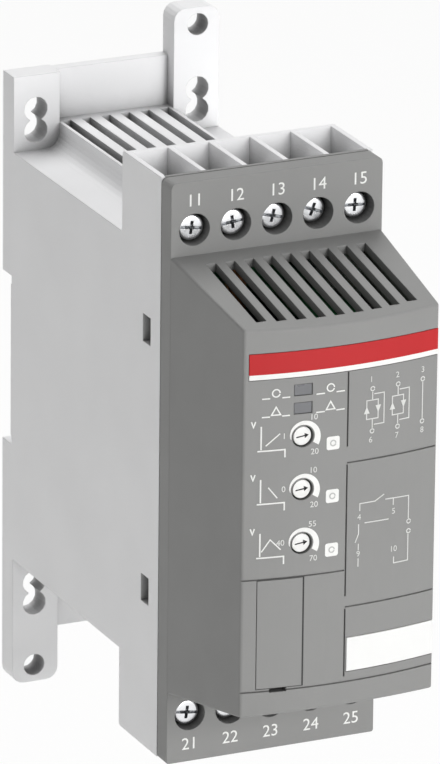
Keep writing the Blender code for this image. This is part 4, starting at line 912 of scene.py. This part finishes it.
class PrintDiagrams(bpy.types.Operator):
    """Generic line drawings of the power paths and of the control contacts"""
    bl_idname = "soft_starter.print_diagrams"
    bl_label = "Line drawings"

    def execute(self, context):
        line = context.scene.soft_starter_print.line * 0.8
        ink = ink_material("ink_white_diagrams", linear("#D3D3D1"))
        bm = bmesh.new()
        for x, switched in ((5.7, True), (11.35, True), (17.0, False)):
            self.power_path(bm, x, switched, line)
        for z, row in ((26.9, "123"), (14.6, "678")):
            for x, words in zip((5.4, 11.2, 17.0), row):
                print_text(bm, words, x * MM, z * MM, PANEL_NUMERAL)
        self.control_path(bm, line)
        finished("line_drawings", bm, ink, "housing")
        return {"FINISHED"}

    def power_path(self, bm, x, switched, line):
        """One phase from its upper to its lower ring, with a switched pair and its bypass. Sizes here are in mm."""
        top, bottom, ring = 25.0, 16.4, 0.6
        for z in (top, bottom):
            print_ring(bm, x * MM, z * MM, SMALL_RING, line, 14)
        if not switched:
            print_stroke(bm, [(x, top - ring), (x, bottom + ring)], line)
            return
        roof, floor, side, gap = 22.7, 18.9, 1.25, 0.15
        print_stroke(bm, [(x, top - ring), (x, roof + gap)], line)
        print_stroke(bm, [(x, floor - gap), (x, bottom + ring)], line)
        box = [(x - side, roof), (x + side, roof), (x + side, floor), (x - side, floor)]
        print_stroke(bm, box, line, closed=True)
        # The pair: a triangle that points up on the left side and one that points down on the right.
        middle, half_width, half_height = (roof + floor) / 2, 0.62, 0.75
        for centre, up in ((x - side, half_height), (x + side, -half_height)):
            triangle = [(-half_width, -up), (half_width, -up), (0, up)]
            print_prism(bm, [((centre + across) * MM, (middle + rise) * MM) for across, rise in triangle],
                        PRINT_LIFT + PRINT_THICKNESS)
        near, far, upper, lower = x + 0.35, x + 2.55, 23.9, 17.7
        print_stroke(bm, [(near, upper), (far, upper), (far, lower), (near, lower)], line)

    def control_path(self, bm, line):
        """The control contact, its supply loop and the signal contact."""
        strokes = [[(3.3, 0.4), (3.3, 1.9), (6.6, 1.9), (8.6, 3.0)], [(8.9, 1.9), (14.2, 1.7), (14.2, -3.0)],
                   [(14.2, -6.2), (14.2, -11.6), (11.0, -11.6), (11.0, -10.3)], [(4.4, -2.2), (9.7, -2.3)],
                   [(3.1, -2.3), (3.1, -4.3), (2.4, -6.0)], [(3.1, -6.3), (3.1, -7.6)], [(3.1, -9.3), (3.1, -11.0)],
                   [(10.7, 0.4), (10.7, 1.9)]]
        for points in strokes:
            print_stroke(bm, points, line)
        for x, z, words in ((3.2, -0.9, "4"), (10.8, -0.9, "5"), (3.1, -8.4, "9"), (10.9, -8.7, "10")):
            print_text(bm, words, x * MM, z * MM, PANEL_NUMERAL)
        for z in (-3.6, -5.6):
            print_ring(bm, 14.3 * MM, z * MM, SMALL_RING, line, 14)


class BuildStage(bpy.types.Operator):
    """The pale floor, the soft lamps, the even sky and the camera"""
    bl_idname = "soft_starter.build_stage"
    bl_label = "Stage"

    def execute(self, context):
        stage = context.scene.soft_starter_stage
        self.floor(stage.drop)
        self.sky(context.scene, stage.sky)
        self.lamp("key_lamp", KEY_PLACE, stage.key)
        self.lamp("top_lamp", TOP_PLACE, stage.top)
        self.camera(context.scene)
        context.scene.view_settings.view_transform = "Standard"
        return {"FINISHED"}

    def seen_as(self, tree, real, seen):
        """One surface for the camera, for mirrors and through glass, and the real one for all other light."""
        path = add_node(tree, "LightPath")
        first = add_node(tree, "Math", {0: path.outputs["Is Camera Ray"], 1: path.outputs["Is Glossy Ray"]},
                         operation="MAXIMUM")
        either = add_node(tree, "Math", {0: first.outputs[0], 1: path.outputs["Is Transmission Ray"]},
                          operation="MAXIMUM")
        mix = add_node(tree, "MixShader", {0: either.outputs[0]})
        tree.links.new(real, mix.inputs[1])
        tree.links.new(seen, mix.inputs[2])
        return mix.outputs[0]

    def floor(self, drop):
        """Matt paper floor, bent up into a backdrop far behind."""
        z, reach, plain_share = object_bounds()[0][2] - drop, 6.0, 0.85
        bm = bmesh.new()
        # The paper from front to back as (y, z) in metres: it lies flat up to the bend and then stands up.
        profile = [(-reach, z), (3.0, z), (3.8, z + 0.25), (4.2, z + 1.0), (4.2, z + 5.0)]
        rows = [[bm.verts.new((x, y, height)) for x in (-reach, reach)] for y, height in profile]
        for first, last in zip(rows, rows[1:]):
            bm.faces.new((first[0], first[1], last[1], last[0]))
        mesh = bpy.data.meshes.new("paper_floor")
        bm.to_mesh(mesh)
        bm.free()
        mesh.shade_smooth()
        made = bpy.data.objects.new("paper_floor", mesh)
        bpy.context.scene.collection.objects.link(made)
        # Coated background paper, almost white and quite matt. What is seen of it is mostly its plain white.
        paper, tree, shader = surface("background_paper_white", linear("#FAFAF9"), 0.9)
        white = add_node(tree, "Emission", {"Color": (1.0, 1.0, 1.0, 1.0), "Strength": 1.0})
        plain = add_node(tree, "MixShader", {0: plain_share})
        tree.links.new(shader.outputs[0], plain.inputs[1])
        tree.links.new(white.outputs[0], plain.inputs[2])
        mix = self.seen_as(tree, shader.outputs[0], plain.outputs[0])
        tree.links.new(mix, tree.nodes["Material Output"].inputs["Surface"])
        mesh.materials.append(paper)
        made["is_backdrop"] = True

    def sky(self, scene, strength):
        """An even pale sky that lights softly, and is plain white where it is seen."""
        world = bpy.data.worlds.new("studio_sky")
        scene.world = world
        world.use_nodes = True
        tree = world.node_tree
        soft = tree.nodes["Background"]
        soft.inputs["Color"].default_value = (1.0, 1.0, 1.0, 1.0)
        soft.inputs["Strength"].default_value = strength
        white = add_node(tree, "Background", {"Color": (1.0, 1.0, 1.0, 1.0), "Strength": 1.0})
        mix = self.seen_as(tree, soft.outputs[0], white.outputs[0])
        tree.links.new(mix, tree.nodes["World Output"].inputs["Surface"])

    def lamp(self, name, place, power):
        """A square soft lamp that faces the part."""
        light = bpy.data.lights.new(name, "AREA")
        light.shape = "SQUARE"
        light.size = LAMP_WIDTH
        light.energy = power
        made = bpy.data.objects.new(name, light)
        made.location = place
        made.rotation_euler = (Vector(LAMP_TARGET) - Vector(place)).to_track_quat("-Z", "Y").to_euler()
        bpy.context.scene.collection.objects.link(made)

    def camera(self, scene):
        """The photograph's viewing angle: in front, to the left and above, through a long lens."""
        lens = bpy.data.cameras.new("camera")
        lens.lens = LENS
        lens.sensor_width = SENSOR
        lens.clip_end = 50.0
        made = bpy.data.objects.new("camera", lens)
        azimuth, elevation, roll = (math.radians(angle) for angle in (AZIMUTH, ELEVATION, ROLL))
        look = Vector((math.sin(azimuth) * math.cos(elevation), math.cos(azimuth) * math.cos(elevation),
                       -math.sin(elevation)))
        right = look.cross(Vector((0, 0, 1))).normalized()
        up = right.cross(look)
        turned_right = right * math.cos(roll) + up * math.sin(roll)
        turned_up = up * math.cos(roll) - right * math.sin(roll)
        turn = Matrix((turned_right, turned_up, -look)).transposed()
        made.matrix_world = Matrix.Translation(CAMERA_PLACE) @ turn.to_4x4()
        bpy.context.scene.collection.objects.link(made)
        scene.camera = made


STEPS = (DressHousing, DressCover, DressStrips, DressLights, MakeScrews, DressClamps, MakeDials, DressLatch,
         DressPower, DressBoards, MakePins, PrintTerminalNumbers, PrintScales, PrintSymbols, PrintDiagrams,
         BuildStage)
SETTINGS = {"soft_starter_plastic": PlasticSettings, "soft_starter_print": PrintSettings,
            "soft_starter_hardware": HardwareSettings, "soft_starter_stage": StageSettings}


class SoftStarterPanel(bpy.types.Panel):
    """Lists the settings and the steps in order"""
    bl_idname = "VIEW3D_PT_soft_starter"
    bl_label = "Soft starter"
    bl_space_type = "VIEW_3D"
    bl_region_type = "UI"
    bl_category = "Soft starter"

    def draw(self, context):
        for name, group in SETTINGS.items():
            box = self.layout.box()
            for prop in group.__annotations__:
                box.prop(getattr(context.scene, name), prop)
        for step in STEPS:
            self.layout.operator(step.bl_idname)


def register():
    for name, group in SETTINGS.items():
        bpy.utils.register_class(group)
        setattr(bpy.types.Scene, name, PointerProperty(type=group))
    for step in STEPS:
        bpy.utils.register_class(step)
    bpy.utils.register_class(SoftStarterPanel)


def unregister():
    bpy.utils.unregister_class(SoftStarterPanel)
    for step in reversed(STEPS):
        bpy.utils.unregister_class(step)
    for name, group in SETTINGS.items():
        delattr(bpy.types.Scene, name)
        bpy.utils.unregister_class(group)


def main():
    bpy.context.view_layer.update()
    register()
    for step in STEPS:
        getattr(bpy.ops.soft_starter, step.bl_idname.split(".")[1])()


if __name__ == "__main__":
    main()
